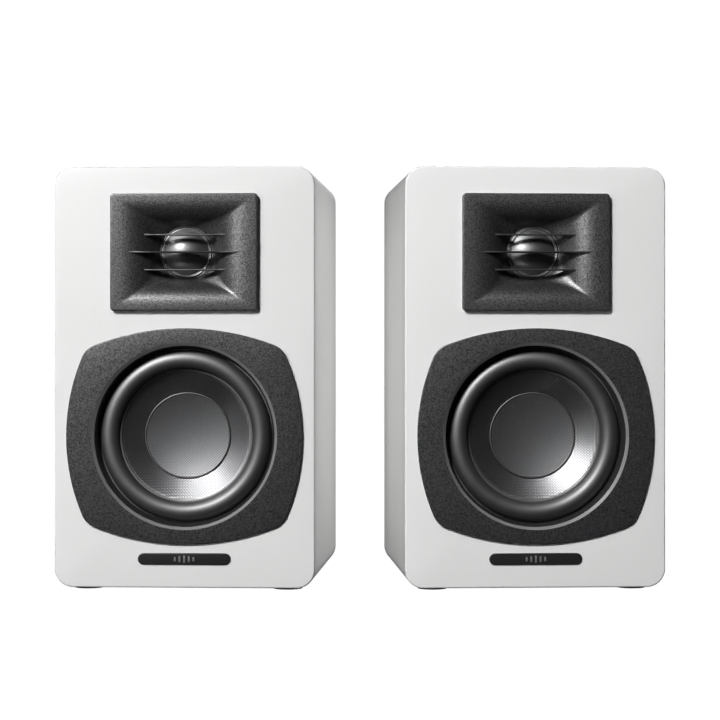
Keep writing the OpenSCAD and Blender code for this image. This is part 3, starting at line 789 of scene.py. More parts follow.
FINISHES = {
    made.__name__: made for made in (
        white_paint, vinyl_wrap, print_ink, badge_satin, badge_grey, rubber, foot_rubber, cone_cloth,
        dome_silk, spider_cloth, basket_coat, copper_wire, ferrite, circuit_board, light_lens, pale_floor,
        bright_wall,
    )
}
FINISHES.update({
    "horn_moulding": partial(spark_texture, roughness=0.42),
    "trim_moulding": partial(spark_texture, roughness=0.4),
    "smooth_plastic": partial(satin_plastic, base="smooth", roughness=0.36),
    "lip_plastic": partial(satin_plastic, base=(0.2, 0.2, 0.203), roughness=0.36),
    "ring_grey": partial(satin_plastic, base=(0.11, 0.11, 0.115), roughness=0.34),
    "matte_black": partial(satin_plastic, base=(0.02, 0.02, 0.021), roughness=0.5, grain=0.04 * MM),
    "red_plastic": partial(satin_plastic, base="red", roughness=0.3),
    "black_plastic": partial(satin_plastic, base=(0.018, 0.018, 0.019), roughness=0.28),
    "white_plastic": partial(satin_plastic, base=(0.75, 0.75, 0.73), roughness=0.3),
    "button_plastic": partial(satin_plastic, base=(0.42, 0.42, 0.43), roughness=0.3),
    "anodised": partial(brushed_metal, base="panel", roughness=0.4, stretch=(0.02, 1, 1), metallic=0.45),
    "nickel": partial(brushed_metal, base=(0.72, 0.7, 0.66), roughness=0.2, stretch=(1, 0.1, 1)),
    "black_zinc": partial(brushed_metal, base=(0.12, 0.12, 0.13), roughness=0.32, stretch=(1, 1, 1)),
    "zinc_steel": partial(brushed_metal, base=(0.6, 0.61, 0.62), roughness=0.34, stretch=(1, 0.06, 1)),
})


def finish(name):
    """The finish of that name, made when it is first asked for."""
    label = f"{name}_finish"
    return bpy.data.materials.get(label) or FINISHES[name](label)


# Cabinet

def box_rect(box, inset, radius, y, **detail):
    """Rounded rectangle around a box as seen from the front, drawn in by inset."""
    return rounded_rect(box.size.x - 2 * inset, box.size.z - 2 * inset, radius, y, centre_of(box), **detail)


def cabinet_outline(box, sizes):
    """Outline of the whole cabinet, with its round corners."""
    def outline(inset, y):
        return box_rect(box, inset, max(sizes.corner_radius - inset, 0.1 * MM), y, steps=12)
    return outline


def rect_outline(width, height, radius, centre):
    """Outline of a rounded rectangle, for slab, cut and pit."""
    def outline(inset, y):
        return rounded_rect(width - 2 * inset, height - 2 * inset, max(radius - inset, 0.05 * MM), y, centre)
    return outline


def box_outline(box, radius, less=0.0):
    """Outline of a box as seen from the front, less that much in width and height."""
    return rect_outline(box.size.x - less, box.size.z - less, radius, centre_of(box))


def round_outline(radius, centre, count=64):
    """Outline of a circle, for slab, cut and pit."""
    def outline(inset, y):
        return circle(radius - inset, y, centre, count)
    return outline


def add_sleeve(side, sizes):
    """The four-sided sleeve, open at the rear, with a paint skin that runs on over the front board."""
    box = local_box(side, f"{side}_cabinet")
    board = local_box(side, f"{side}_baffle")
    panel = local_box(side, f"{side}_rear_panel")
    gap = 2 * sizes.wall_gap
    inside = rect_outline(panel.size.x + gap, panel.size.z + gap, 2 * MM, centre_of(box))
    outline = cabinet_outline(box, sizes)
    front = board.lo.y + sizes.cabinet_edge
    levels = [outline(i, box.hi.y - d) for i, d in reversed(rounding(sizes.cabinet_edge))]
    levels += [outline(0, front), outline(sizes.paint_skin, front), outline(sizes.paint_skin, box.lo.y)]
    hollow = [inside(0, box.lo.y)] + [inside(-i, box.hi.y - d) for i, d in rounding(sizes.cabinet_edge)]
    shell = Shell()
    outer = shell.skin(levels)
    inner = shell.skin(hollow)
    shell.fill(outer[-1], inner[0])
    shell.fill(outer[0], inner[-1])
    obj = add_side_piece(side, "sleeve", shell, "speaker", "white_paint", "white_paint", "cabinet")
    collection_for(f"{side} speaker").objects.unlink(obj)
    collection_for(f"{side} sleeve").objects.link(obj)


def add_baffle(side, sizes):
    """The front board, with the horn's cut-out and the woofer's stepped hole."""
    box = local_box(side, f"{side}_baffle")
    horn = local_box(side, f"{side}_horn")
    basket = local_box(side, f"{side}_woofer_basket")
    flange = basket.size.x / 2 + sizes.wall_gap
    throat = flange - WOOFER_SEAT
    seat = basket.lo.y + WOOFER_FLANGE
    horn_hole = box_outline(horn, 0.5 * MM, 2 * (sizes.horn_ledge - sizes.wall_gap))
    middle = centre_of(basket)
    woofer_hole = [circle(flange, box.lo.y, middle), circle(flange, seat, middle)]
    woofer_hole += [circle(throat, seat, middle), circle(throat, box.hi.y, middle)]
    outline = cabinet_outline(box, sizes)
    edge = sizes.cabinet_edge
    levels = [outline(sizes.paint_skin, box.hi.y), outline(sizes.paint_skin, box.lo.y + edge)]
    levels += [outline(i, box.lo.y + d) for i, d in rounding(edge)]
    shell = Shell()
    outer = shell.skin(levels)
    cuts = [shell.skin(rings) for rings in (cut(horn_hole, box.lo.y, box.hi.y), woofer_hole)]
    shell.fill(outer[-1], *[rings[0] for rings in cuts])
    shell.fill(outer[0], *[rings[-1] for rings in cuts])
    add_side_piece(side, "front_board", shell, "speaker", "white_paint", "white_paint", "baffle")


def add_rear_panel(side, sizes):
    """The wrapped rear board, with holes for the port and for the plate that the sockets sit on."""
    box = local_box(side, f"{side}_rear_panel")
    port = local_box(side, f"{side}_port_tube")
    port_hole = round_outline(sizes.port_radius + PORT_WALL + sizes.wall_gap, centre_of(port))
    plate = local_box(side, "amp_panel" if side == "right" else f"{side}_terminal_base")
    plate_hole = box_outline(plate, 0.5 * MM, AMP_PLATE_LAP if side == "right" else TERMINAL_LAP)
    holes = [cut(port_hole, box.lo.y, box.hi.y, 0, 0.4 * MM), cut(plate_hole, box.lo.y, box.hi.y)]
    shell = Shell()
    shell.slab(box_outline(box, 2 * MM), box.lo.y, box.hi.y, 0, 0.8 * MM, holes)
    add_side_piece(side, "rear_board", shell, "speaker", "vinyl_wrap", "black_board", "rear_panel")


def add_feet(side):
    """Four round pads with a shallow ring under each."""
    shell = Shell()
    for points in loose_parts(side, f"{side}_feet"):
        box = Box(points)
        radius, tall = box.size.x / 2, box.size.z
        profile = [(0, tall), (radius, tall), (radius, 0.4 * MM), (radius - 0.15 * MM, 0.12 * MM)]
        profile += [(radius - 0.4 * MM, 0), (radius * 0.72, 0), (radius * 0.7, 0.25 * MM)]
        profile += [(radius * 0.62, 0.25 * MM), (radius * 0.6, 0), (0, 0)]
        rings = []
        for reach, z in profile:
            ring = circle(reach, z, (box.mid.x, box.mid.y), 48) if reach else [(box.mid.x, z, box.mid.y)]
            rings.append([(x, depth, height) for x, height, depth in ring])
        shell.skin(rings)
    add_side_piece(side, "pads", shell, "speaker", "foot_rubber", "foot_rubber", "feet")


def add_badge(side, sizes):
    """A plain rounded plate with a row of small bars of different heights."""
    box = local_box(side, f"{side}_badge")
    shell = Shell()
    shell.slab(box_outline(box, box.size.z / 2), box.lo.y + 0.25 * MM, box.hi.y, 0.45 * MM)
    add_side_piece(side, "badge_plate", shell, "speaker", "badge_satin", "badge_black", "badge")
    bars = Shell()
    pitch, wide = 2.5 * MM, 1 * MM
    tallest, step_down = 0.62, 0.13
    for i in range(sizes.badge_bars):
        from_middle = i - (sizes.badge_bars - 1) / 2
        tall = box.size.z * (tallest - step_down * abs(from_middle))
        middle = (box.mid.x + from_middle * pitch, box.mid.z)
        bar = rect_outline(wide, tall, 0.45 * MM, middle)
        bars.slab(bar, box.lo.y + 0.05 * MM, box.lo.y + 0.4 * MM, 0.12 * MM)
    add_side_piece(side, "badge_bars", bars, "speaker", "badge_grey", "badge_black")


def add_port(side, sizes):
    """The port tube with its rounded mouth at the rear and a softened inner end."""
    box = local_box(side, f"{side}_port_tube")
    bore, flare = sizes.port_radius, sizes.port_flare
    tube = bore + PORT_WALL
    lip = box.size.x / 2
    back = box.hi.y
    lip_front = back - 2 * MM
    inner_end = box.lo.y + 1 * MM
    deep = flare * 2.2
    profile = [(tube, inner_end), (tube, lip_front), (lip, lip_front), (lip, back - 0.9 * MM)]
    profile += [(lip - 0.25 * MM, back - 0.35 * MM), (lip - 0.8 * MM, back - 0.05 * MM)]
    profile += [(lip - 1.4 * MM, back)]
    for i in range(13):
        turn = math.pi / 2 * i / 12
        profile.append((bore + flare * (1 - math.sin(turn)), back - deep * (1 - math.cos(turn))))
    profile += [(bore, inner_end)]
    middle, half_wall = (bore + tube) / 2, (tube - bore) / 2
    for i in range(1, 7):
        turn = math.pi * i / 7
        profile.append((middle - half_wall * math.cos(turn), inner_end - 1 * MM * math.sin(turn)))
    shell = Shell()
    shell.turned(profile, centre_of(box), 72, closed=True)
    add_side_piece(side, "port", shell, "speaker", "matte_black", "port_plastic", "port_tube")


def cross(half, arm, y, centre):
    """Outline of a cross recess."""
    corners = [(arm, half), (-arm, half), (-arm, arm), (-half, arm), (-half, -arm), (-arm, -arm)]
    corners += [(-arm, -half), (arm, -half), (arm, -arm), (half, -arm), (half, arm), (arm, arm)]
    return [(centre[0] + x, y, centre[1] + z) for x, z in corners]


def add_screws(side):
    """A cross-recessed pan head and a plain shank for each screw."""
    shell = Shell()
    for points in loose_parts(side, f"{side}_screws"):
        box = Box(points)
        middle = centre_of(box)
        reach = np.hypot(points[:, 0] - middle[0], points[:, 2] - middle[1])
        head_r = reach.max()
        wide = points[reach > head_r - 0.1 * MM][:, 1]
        rearward = wide.mean() > box.mid.y
        top = box.hi.y if rearward else box.lo.y
        tip = box.lo.y if rearward else box.hi.y
        into = 1 if tip > top else -1
        drop = into * SCREW_HEAD
        head = [(head_r * math.cos(a), top + drop * (1 - math.sin(a))) for a in (0, 0.35, 0.7, 1.0)]
        profile = [(0, tip), (SCREW_SHANK * 0.6, tip - into * 0.8 * MM), (SCREW_SHANK, tip - into * 2 * MM)]
        profile += [(SCREW_SHANK, top + drop)] + head
        rings = shell.turned(profile, middle, 24)
        recess = shell.skin([
            cross(1.0 * MM, 0.28 * MM, head[-1][1], middle),
            cross(0.75 * MM, 0.2 * MM, head[-1][1] + into * 0.7 * MM, middle),
        ])
        shell.fill(rings[-1], recess[0])
        shell.fill(recess[1])
    add_side_piece(side, "cross_screws", shell, "speaker", "black_zinc", "screw_steel", "screws")


# Horn and tweeter

class Flare:
    """The horn's curve: open_share runs from 1 at the mouth to 0 at the round throat."""

    power = 3.0
    corner = 1.1 * MM
    round_share = 0.04
    squareness = 6

    def __init__(self, box, sizes):
        self.front = box.lo.y
        self.deep = box.size.y
        self.throat = sizes.throat_radius
        self.width = box.size.x - 2 * sizes.horn_rim
        self.height = box.size.z - 2 * sizes.horn_rim
        self.middle = centre_of(box)

    def y(self, open_share):
        return self.front + self.deep * (1 - open_share) ** self.power

    def wall(self, x):
        """Depth of the side wall at distance x from the middle."""
        open_share = (abs(x) - self.throat) / (self.width / 2 - self.throat)
        return self.y(min(max(open_share, 0), 1))

    def ring(self, open_share):
        narrow = 2 * self.throat
        width = narrow + open_share * (self.width - narrow)
        height = narrow + open_share * (self.height - narrow)
        squared = max(open_share - self.round_share, 0)
        radius = self.corner + (self.throat * 0.995 - self.corner) * (1 - squared) ** self.squareness
        return rounded_rect(width, height, radius, self.y(open_share), self.middle, steps=10, spans=10)


def add_horn(side, sizes):
    """The horn: a plate whose face runs straight into the flare, creased along the four diagonals."""
    box = local_box(side, f"{side}_horn")
    flare = Flare(box, sizes)

    def plate(inset, y):
        return box_rect(box, inset, sizes.horn_corner - inset, y, steps=10, spans=10)

    def body(y):
        return box_rect(box, sizes.horn_ledge, 1 * MM, y, steps=10, spans=10)

    rings = [body(box.hi.y), body(0), plate(0, 0)]
    rings += [plate(i, box.lo.y + d) for i, d in rounding(sizes.moulding_edge)]
    steps = 30
    rings += [flare.ring(1 - i / steps) for i in range(steps + 1)]
    shell = Shell()
    made = shell.skin(rings)
    shell.bridge(made[-1], made[0])
    add_side_piece(side, "horn_flare", shell, "speaker", "horn_moulding", "horn_plastic", "horn", crease=24)


def blade(shell, flare, box, back, dome_clear):
    """One vane: a thin wing that runs into the horn's side walls and stays clear of the dome."""
    columns, rows = 72, 12
    half = box.size.x / 2 - 0.15 * MM
    thick = box.size.z
    top, bottom = [], []
    for i in range(columns + 1):
        x = -half + 2 * half * i / columns
        wall = flare.wall(x) + 0.35 * MM
        away = min(max((abs(x) - dome_clear) / (1.5 * MM), 0), 1)
        end = back + (max(wall, back) - back) * away if wall > back else wall
        end = max(end, box.lo.y + 0.2 * MM)
        upper, lower = [], []
        for j in range(rows + 1):
            share = (j / rows) ** 1.6
            nose = min(share / 0.1, 1)
            rise = thick / 2 * math.sqrt(1 - (1 - nose) ** 2) * (1 - 0.45 * share)
            y = box.lo.y + (end - box.lo.y) * share
            upper.append((box.mid.x + x, y, box.mid.z + rise))
            lower.append((box.mid.x + x, y, box.mid.z - rise))
        top.append(shell.ring(upper))
        bottom.append([top[-1][0]] + shell.ring(lower[1:]))
    for grid in (top, bottom):
        for a, b in zip(grid, grid[1:]):
            for j in range(rows):
                shell.bm.faces.new(dict.fromkeys((a[j], a[j + 1], b[j + 1], b[j]))).smooth = True
    for k in (0, columns):
        for j in range(rows):
            shell.bm.faces.new(dict.fromkeys((top[k][j], top[k][j + 1], bottom[k][j + 1], bottom[k][j])))
    for i in range(columns):
        shell.bm.faces.new((top[i][rows], top[i + 1][rows], bottom[i + 1][rows], bottom[i][rows]))


def add_vanes(side, sizes):
    """The three wings that lie across the horn."""
    flare = Flare(local_box(side, f"{side}_horn"), sizes)
    dome = local_box(side, f"{side}_tweeter_dome")
    shell = Shell()
    for points in loose_parts(side, f"{side}_horn_vanes"):
        blade(shell, flare, Box(points), dome.lo.y - 0.7 * MM, dome.size.x / 2 + 1 * MM)
    add_side_piece(side, "vanes", shell, "speaker", "smooth_plastic", "vane_plastic", "horn_vanes")


def torus(shell, radius, y, thick, centre, count=96):
    """A thin round ring."""
    profile = []
    for i in range(12):
        turn = 2 * math.pi * i / 12
        profile.append((radius + thick * math.cos(turn), y + thick * math.sin(turn)))
    shell.turned(profile, centre, count, closed=True)


def add_tweeter(side, sizes):
    """Silk dome with its small roll, and the two pale rings around it."""
    box = local_box(side, f"{side}_tweeter_dome")
    middle = centre_of(box)
    edge = box.size.x / 2
    roll_width, roll_rise, silk = 1.5 * MM, 0.55 * MM, 0.5 * MM
    foot = edge - roll_width
    base = box.hi.y - 0.8 * MM
    rise = base - box.lo.y
    steps = 16
    front = [(foot * i / steps, box.lo.y + rise * (i / steps) ** 2) for i in range(steps + 1)]
    roll = []
    for i in range(1, 9):
        turn = math.pi * i / 8
        reach = (edge - foot) / 2
        roll.append((foot + reach * (1 - math.cos(turn)), base - roll_rise * math.sin(turn)))
    back = [(edge, box.hi.y), (foot, box.hi.y)]
    back += [(radius, y + silk) for radius, y in reversed(front[:-1])]
    shell = Shell()
    shell.turned(front + roll + back, middle, 96)
    add_side_piece(side, "silk_dome", shell, "tweeter_motion", "dome_silk", "dome_silk", "tweeter_dome")
    seam = Shell()
    torus(seam, foot, base - 0.1 * MM, 0.28 * MM, middle)
    add_side_piece(side, "dome_seam", seam, "tweeter_motion", "ring_grey", "ring_plastic")
    horn = local_box(side, f"{side}_horn")
    collar = Shell()
    torus(collar, sizes.throat_radius + 0.1 * MM, horn.hi.y - 0.4 * MM, 0.3 * MM, middle)
    add_side_piece(side, "throat_ring", collar, "speaker", "ring_grey", "ring_plastic")


# Woofer

def add_trim(side, sizes):
    """The bowed trim plate, its bright lip and the dark wall behind it."""
    box = local_box(side, f"{side}_woofer_trim")
    middle = centre_of(box)
    back_r = local_box(side, f"{side}_woofer_surround").size.x / 2
    lip_r = sizes.opening_radius - sizes.lip_width

    def outline(inset, y):
        return bowed_rect(
            box.size.x - 2 * inset, box.size.z - 2 * inset, sizes.side_bow - inset, sizes.top_bow - inset,
            sizes.trim_corner - inset, y, middle,
        )

    shell = Shell()
    outer = shell.skin([outline(0, 0)] + [outline(i, box.lo.y + d) for i, d in rounding(0.5 * MM)])
    well = shell.turned([
        (sizes.opening_radius, box.lo.y), (sizes.opening_radius, box.lo.y + 0.1 * MM),
        (lip_r, box.lo.y + sizes.lip_width), (back_r - 1.8 * MM, box.hi.y), (back_r, box.hi.y),
        (sizes.opening_radius + 1.8 * MM, 0),
    ], middle, 128)
    shell.fill(outer[-1], well[0])
    shell.fill(outer[0], well[-1])
    add_side_piece(
        side, "bowed_trim", shell, "speaker", "trim_moulding", "trim_plastic", "woofer_trim", crease=30,
    )
    lip = Shell()
    lip.turned([
        (sizes.opening_radius - 0.02 * MM, box.lo.y), (lip_r - 0.02 * MM, box.lo.y + sizes.lip_width),
        (lip_r + 0.02 * MM, box.lo.y + sizes.lip_width + 0.5 * MM),
        (sizes.opening_radius - 0.02 * MM, box.lo.y + 0.6 * MM),
    ], middle, 128, closed=True)
    add_side_piece(side, "trim_lip", lip, "speaker", "lip_plastic", "trim_plastic")


def radial_blend(obj):
    """Bakes the piece's placement into its mesh and reads its points; the piece is not tied to the cabinet or
    the cone.
    """
    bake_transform(obj)
    points = np.empty(len(obj.data.vertices) * 3)
    obj.data.vertices.foreach_get("co", points)


def add_surround(side, sizes):
    """The half-round rubber roll, with a glued flange on each side."""
    node = f"{side}_woofer_surround"
    box = local_box(side, node)
    middle = centre_of(box)
    cone = local_box(side, f"{side}_woofer_cone")
    inner = cone.size.x / 2 - 1.4 * MM
    outer = box.size.x / 2
    plane = box.hi.y
    face = plane - sizes.rubber
    crest = plane - box.lo.y
    roll_mid = inner + 1.2 * MM + sizes.roll_radius
    steps = 28
    front = [(outer, face)]
    back = []
    start = math.asin(sizes.rubber / crest)
    for i in range(steps + 1):
        turn = start + (math.pi - 2 * start) * i / steps
        front.append((roll_mid + sizes.roll_radius * math.cos(turn), plane - crest * math.sin(turn)))
        turn = math.pi - math.pi * i / steps
        thin = sizes.roll_radius - sizes.rubber
        back.append((roll_mid + thin * math.cos(turn), plane - (crest - sizes.rubber) * math.sin(turn)))
    front += [(inner + 0.2 * MM, face), (inner, face + 0.15 * MM), (inner, plane)]
    shell = Shell()
    shell.turned(front + back + [(outer, plane)], middle, 128, closed=True)
    obj = place_piece(f"{side}_rubber_roll", shell, side, "rubber", "surround_rubber", 50)
    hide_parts(node)
    radial_blend(obj)


def add_spider(side):
    """The rippled cloth disc that centres the voice coil."""
    node = f"{side}_spider"
    box = local_box(side, node)
    coil = local_box(side, f"{side}_woofer_coil")
    middle = centre_of(box)
    outer, inner = box.size.x / 2, coil.size.x / 2
    steps = 60
    thick = 0.35 * MM
    centre_y = box.mid.y
    swing = box.size.y / 2 - thick / 2
    front, back = [], []
    for i in range(steps + 1):
        share = i / steps
        radius = inner + (outer - inner) * share
        ripple = swing * math.sin(2 * math.pi * 5 * share) * math.sin(math.pi * min(share * 4, 1) / 2)
        front.append((radius, centre_y - thick / 2 - ripple))
        back.append((radius, centre_y + thick / 2 - ripple))
    shell = Shell()
    shell.turned(front + back[::-1], middle, 96, closed=True)
    obj = place_piece(f"{side}_rippled_spider", shell, side, "spider_cloth", "spider_cloth", 60)
    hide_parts(node)
    radial_blend(obj)


def add_cone(side):
    """The woven cone with its turned-over edge."""
    box = local_box(side, f"{side}_woofer_cone")
    middle = centre_of(box)
    edge = box.size.x / 2
    shoulder = edge - 1.6 * MM
    thick = 1 * MM
    deep = box.size.y - thick
    front, back = [(edge, box.lo.y)], [(edge, box.lo.y + thick)]
    steps = 24
    for i in range(steps + 1):
        share = i / steps
        radius = shoulder + (CONE_NECK - shoulder) * share
        sag = 0.35 * MM * math.sin(math.pi * share)
        front.append((radius, box.lo.y + deep * share + sag))
        back.append((radius, box.lo.y + deep * share + thick))
    shell = Shell()
    shell.turned(front + back[::-1], middle, 128, closed=True)
    add_side_piece(side, "woven_cone", shell, "woofer_motion", "cone_cloth", "cone_weave", "woofer_cone")


def add_dust_cap(side):
    """The dished cap, with a fine bead where it is glued to the cone."""
    box = local_box(side, f"{side}_dust_cap")
    middle = centre_of(box)
    radius = box.size.x / 2
    thick = 0.6 * MM
    dish = box.size.y - thick
    steps = 20
    front = [(radius * i / steps, box.lo.y + dish * (1 - (i / steps) ** 2)) for i in range(steps + 1)]
    back = [(r, y + thick) for r, y in reversed(front)]
    shell = Shell()
    shell.turned(front + back, middle, 112)
    add_side_piece(side, "dished_cap", shell, "woofer_motion", "cone_cloth", "cone_weave", "dust_cap")
    bead = Shell()
    torus(bead, radius, box.lo.y + 0.1 * MM, 0.42 * MM, middle, 128)
    add_side_piece(side, "cap_bead", bead, "woofer_motion", "rubber", "surround_rubber")


# Rear connections

def add_terminals(side):
    """Terminal base with two pockets and wire holes, and a ribbed lever in each pocket."""
    box = local_box(side, f"{side}_terminal_base")
    x, z = centre_of(box)
    under = box.hi.y - 2 * MM
    floor = box.hi.y - 10 * MM
    holes = []
    for offset in (-LEVER_OFFSET, LEVER_OFFSET):
        pocket = rect_outline(12 * MM, 11.2 * MM, 0.6 * MM, (x + offset, z + 3.4 * MM))
        wire = round_outline(1.5 * MM, (x + offset, z - 6.5 * MM), 32)
        for outline, edge in ((pocket, 0.4 * MM), (wire, 0.8 * MM)):
            holes.append(pit(outline, box.hi.y, floor, edge))
    shell = Shell()
    plate = box_outline(box, 2 * MM)
    core = box_outline(box, 0.5 * MM, 6 * MM)
    levels = [core(0, box.lo.y), core(0, under), plate(0, under)]
    levels += [plate(i, box.hi.y - d) for i, d in rounding(0.8 * MM)]
    outer = shell.skin(levels)
    made = [shell.skin(rings) for rings in holes]
    shell.fill(outer[0])
    shell.fill(outer[-1], *[rings[-1] for rings in made])
    for rings in made:
        shell.fill(rings[0])
    add_side_piece(
        side, "terminal_block", shell, "speaker", "matte_black", "terminal_plastic", "terminal_base",
    )
    for tint in ("red", "black"):
        add_lever(side, tint)


def add_lever(side, tint):
    """A push lever: a curved tab with three grip ribs, on its pin."""
    node = f"{tint}_lever"
    box = local_box(side, f"{side}_{node}")
    x = box.mid.x
    wide, pin_radius = 11 * MM, 1.2 * MM
    pin_y, pin_z = box.hi.y - 4 * MM, box.hi.z - 7.6 * MM
    top, low = box.hi.z, pin_z - 1.4 * MM
    out = box.hi.y
    face, crest = out - 1.2 * MM, out - 0.85 * MM
    profile = [(pin_y, low), (face, low), (face, pin_z + 0.4 * MM)]
    for i in range(3):
        rib = pin_z + (1.2 + 1.3 * i) * MM
        profile += [(face, rib - 0.35 * MM), (crest, rib - 0.1 * MM)]
        profile += [(crest, rib + 0.1 * MM), (face, rib + 0.35 * MM)]
    profile += [(out - 0.2 * MM, top - 2.2 * MM), (out, top - 1.6 * MM), (out, top - 0.3 * MM)]
    profile += [(out - 0.5 * MM, top), (out - 1.8 * MM, top), (pin_y, top - 1 * MM)]
    shell = Shell()
    shell.rod([[(x + s * wide / 2, y, z) for y, z in profile] for s in (-1, 1)])
    ends = [circle(pin_radius, s * box.size.x / 2, (pin_y, pin_z), 24) for s in (-1, 1)]
    shell.rod([[(x + along, y, z) for y, along, z in ring] for ring in ends])
    plastic = f"{tint}_plastic"
    soften(add_side_piece(side, f"{tint}_tab", shell, node, plastic, plastic, node, crease=30), 0.22 * MM)


def amp_boxes():
    """Boxes of the single pieces on the amplifier panel."""
    nodes = ("amp_panel", "volume_knob", "pair_button", "status_light", "jack_socket", "power_socket")
    return {node: local_box("right", node) for node in nodes}


def phono_boxes():
    """Boxes of the phono sockets, from left to right as seen from the front."""
    return [Box(points) for points in loose_parts("right", "phono_sockets")]


def add_amp_panel():
    """The black plate that carries the knob, sockets and terminals, with its printed lines."""
    boxes = amp_boxes()
    panel = boxes["amp_panel"]
    rounds = [(boxes["volume_knob"], 3.8 * MM), (boxes["jack_socket"], 4.1 * MM)]
    rounds += [(boxes["pair_button"], 3.3 * MM), (boxes["status_light"], 1.6 * MM)]
    rounds += [(box, box.size.x / 2 - 0.55 * MM) for box in phono_boxes()]
    outlines = [round_outline(radius, centre_of(box), 48) for box, radius in rounds]
    outlines.append(box_outline(boxes["power_socket"], 0.3 * MM, -0.6 * MM))
    outlines.append(box_outline(local_box("right", "right_terminal_base"), 0.5 * MM, TERMINAL_LAP))
    holes = [cut(outline, panel.lo.y, panel.hi.y, 0, 0.15 * MM) for outline in outlines]
    shell = Shell()
    shell.slab(box_outline(panel, 3 * MM), panel.lo.y, panel.hi.y, 0, 0.35 * MM, holes)
    add_amp_piece("amp_plate", shell, "anodised", "panel_aluminium", "amp_panel")
    add_panel_lines(boxes, panel.hi.y)


def add_panel_lines(boxes, face):
    """Printed marks: a dial scale around the knob and a thin frame around each group of sockets."""
    ink = 0.04 * MM
    bottom, top = face - ink, face + ink
    shell = Shell()
    middle = centre_of(boxes["volume_knob"])
    reach = boxes["volume_knob"].size.x / 2 + 2.4 * MM
    for i in range(11):
        turn = math.radians(240 - 30 * i)
        along = Vector((math.cos(turn), math.sin(turn)))
        across = Vector((-along.y, along.x))
        long_mark = 1.0 * MM if i % 5 == 0 else 0.6 * MM
        spot = Vector(middle) + along * reach
        corners = []
        for a, b in ((-1, -1), (1, -1), (1, 1), (-1, 1)):
            corners.append(spot + across * 0.2 * MM * a + along * long_mark * b)
        shell.rod([[(corner.x, y, corner.y) for corner in corners] for y in (bottom, top)])
    phonos = phono_boxes()
    left, right = phonos[0], phonos[-1]
    groups = [((left.mid + right.mid) / 2, right.mid.x - left.mid.x + 15 * MM, 15 * MM)]
    groups += [(boxes["power_socket"].mid, 16 * MM, 18 * MM), (boxes["jack_socket"].mid, 14 * MM, 14 * MM)]
    for spot, wide, tall in groups:
        middle = (spot.x, spot.z)
        inner = rect_outline(wide - 0.5 * MM, tall - 0.5 * MM, 1.8 * MM, middle)
        shell.slab(rect_outline(wide, tall, 2 * MM, middle), bottom, top, holes=[cut(inner, bottom, top)])
    add_amp_piece("panel_print", shell, "print_ink", "panel_aluminium")


def add_knob(sizes):
    """The fluted volume knob with a pointer line."""
    box = local_box("right", "volume_knob")
    middle = centre_of(box)
    radius = box.size.x / 2
    count = sizes.knob_ribs * 10

    def fluted(reach, y, depth):
        points = []
        for i in range(count):
            turn = 2 * math.pi * i / count
            out = reach - depth * max(0.0, math.cos(sizes.knob_ribs * turn)) ** 4
            points.append((middle[0] + out * math.cos(turn), y, middle[1] + out * math.sin(turn)))
        return points

    bore, groove = 6.3 * MM, 0.5 * MM
    front, back = box.lo.y, box.hi.y
    rings = [circle(bore, front + 5 * MM, middle, count), circle(bore, front, middle, count)]
    rings += [fluted(radius - 0.5 * MM, front, 0), fluted(radius, front + 0.5 * MM, 0)]
    rings += [fluted(radius, front + 1.5 * MM, 0), fluted(radius, front + 2.2 * MM, groove)]
    rings += [fluted(radius, back - 1.2 * MM, groove)]
    rings += [fluted(radius - i, back - d, groove * (1 - i / MM)) for i, d in rounding(1 * MM)[1:]]
    rings += [circle(radius * 0.8, back, middle, count)]
    rings += [circle(radius * 0.77, back - 0.25 * MM, middle, count)]
    shell = Shell()
    shell.rod(rings)
    add_amp_piece("fluted_knob", shell, "matte_black", "knob_plastic", "volume_knob", body="volume_knob")
    pointer = Shell()
    top = back - 0.28 * MM
    mark = rect_outline(0.9 * MM, radius * 0.5, 0.4 * MM, (middle[0], middle[1] + radius * 0.5))
    pointer.slab(mark, top, top + 0.12 * MM, 0, 0.05 * MM)
    add_amp_piece("knob_pointer", pointer, "white_plastic", "knob_plastic", body="volume_knob")


def add_button_and_light():
    """The pairing button, and the small lens beside it."""
    boxes = amp_boxes()
    button, light = boxes["pair_button"], boxes["status_light"]
    cap_r, rim_r, rim_y = 3.2 * MM, button.size.x / 2, button.lo.y + 1.4 * MM
    profile = [(0, button.lo.y), (rim_r, button.lo.y), (rim_r, rim_y), (cap_r, rim_y)]
    profile += [(cap_r - i, button.hi.y - d) for i, d in rounding(0.6 * MM)]
    profile += [(cap_r * 0.5, button.hi.y - 0.12 * MM), (0, button.hi.y - 0.2 * MM)]
    shell = Shell()
    shell.turned(profile, centre_of(button), 48)
    plastic = "button_plastic"
    add_amp_piece("round_button", shell, plastic, plastic, "pair_button", body="pair_button")
    radius, tip = light.size.x / 2, light.hi.y
    profile = [(0, light.lo.y), (radius, light.lo.y), (radius, tip - 0.35 * MM)]
    profile += [(radius * 0.9, tip - 0.15 * MM), (radius * 0.5, tip - 0.02 * MM), (0, tip)]
    shell = Shell()
    shell.turned(profile, centre_of(light), 36)
    add_amp_piece("light_dome", shell, "light_lens", "light_lens", "status_light")


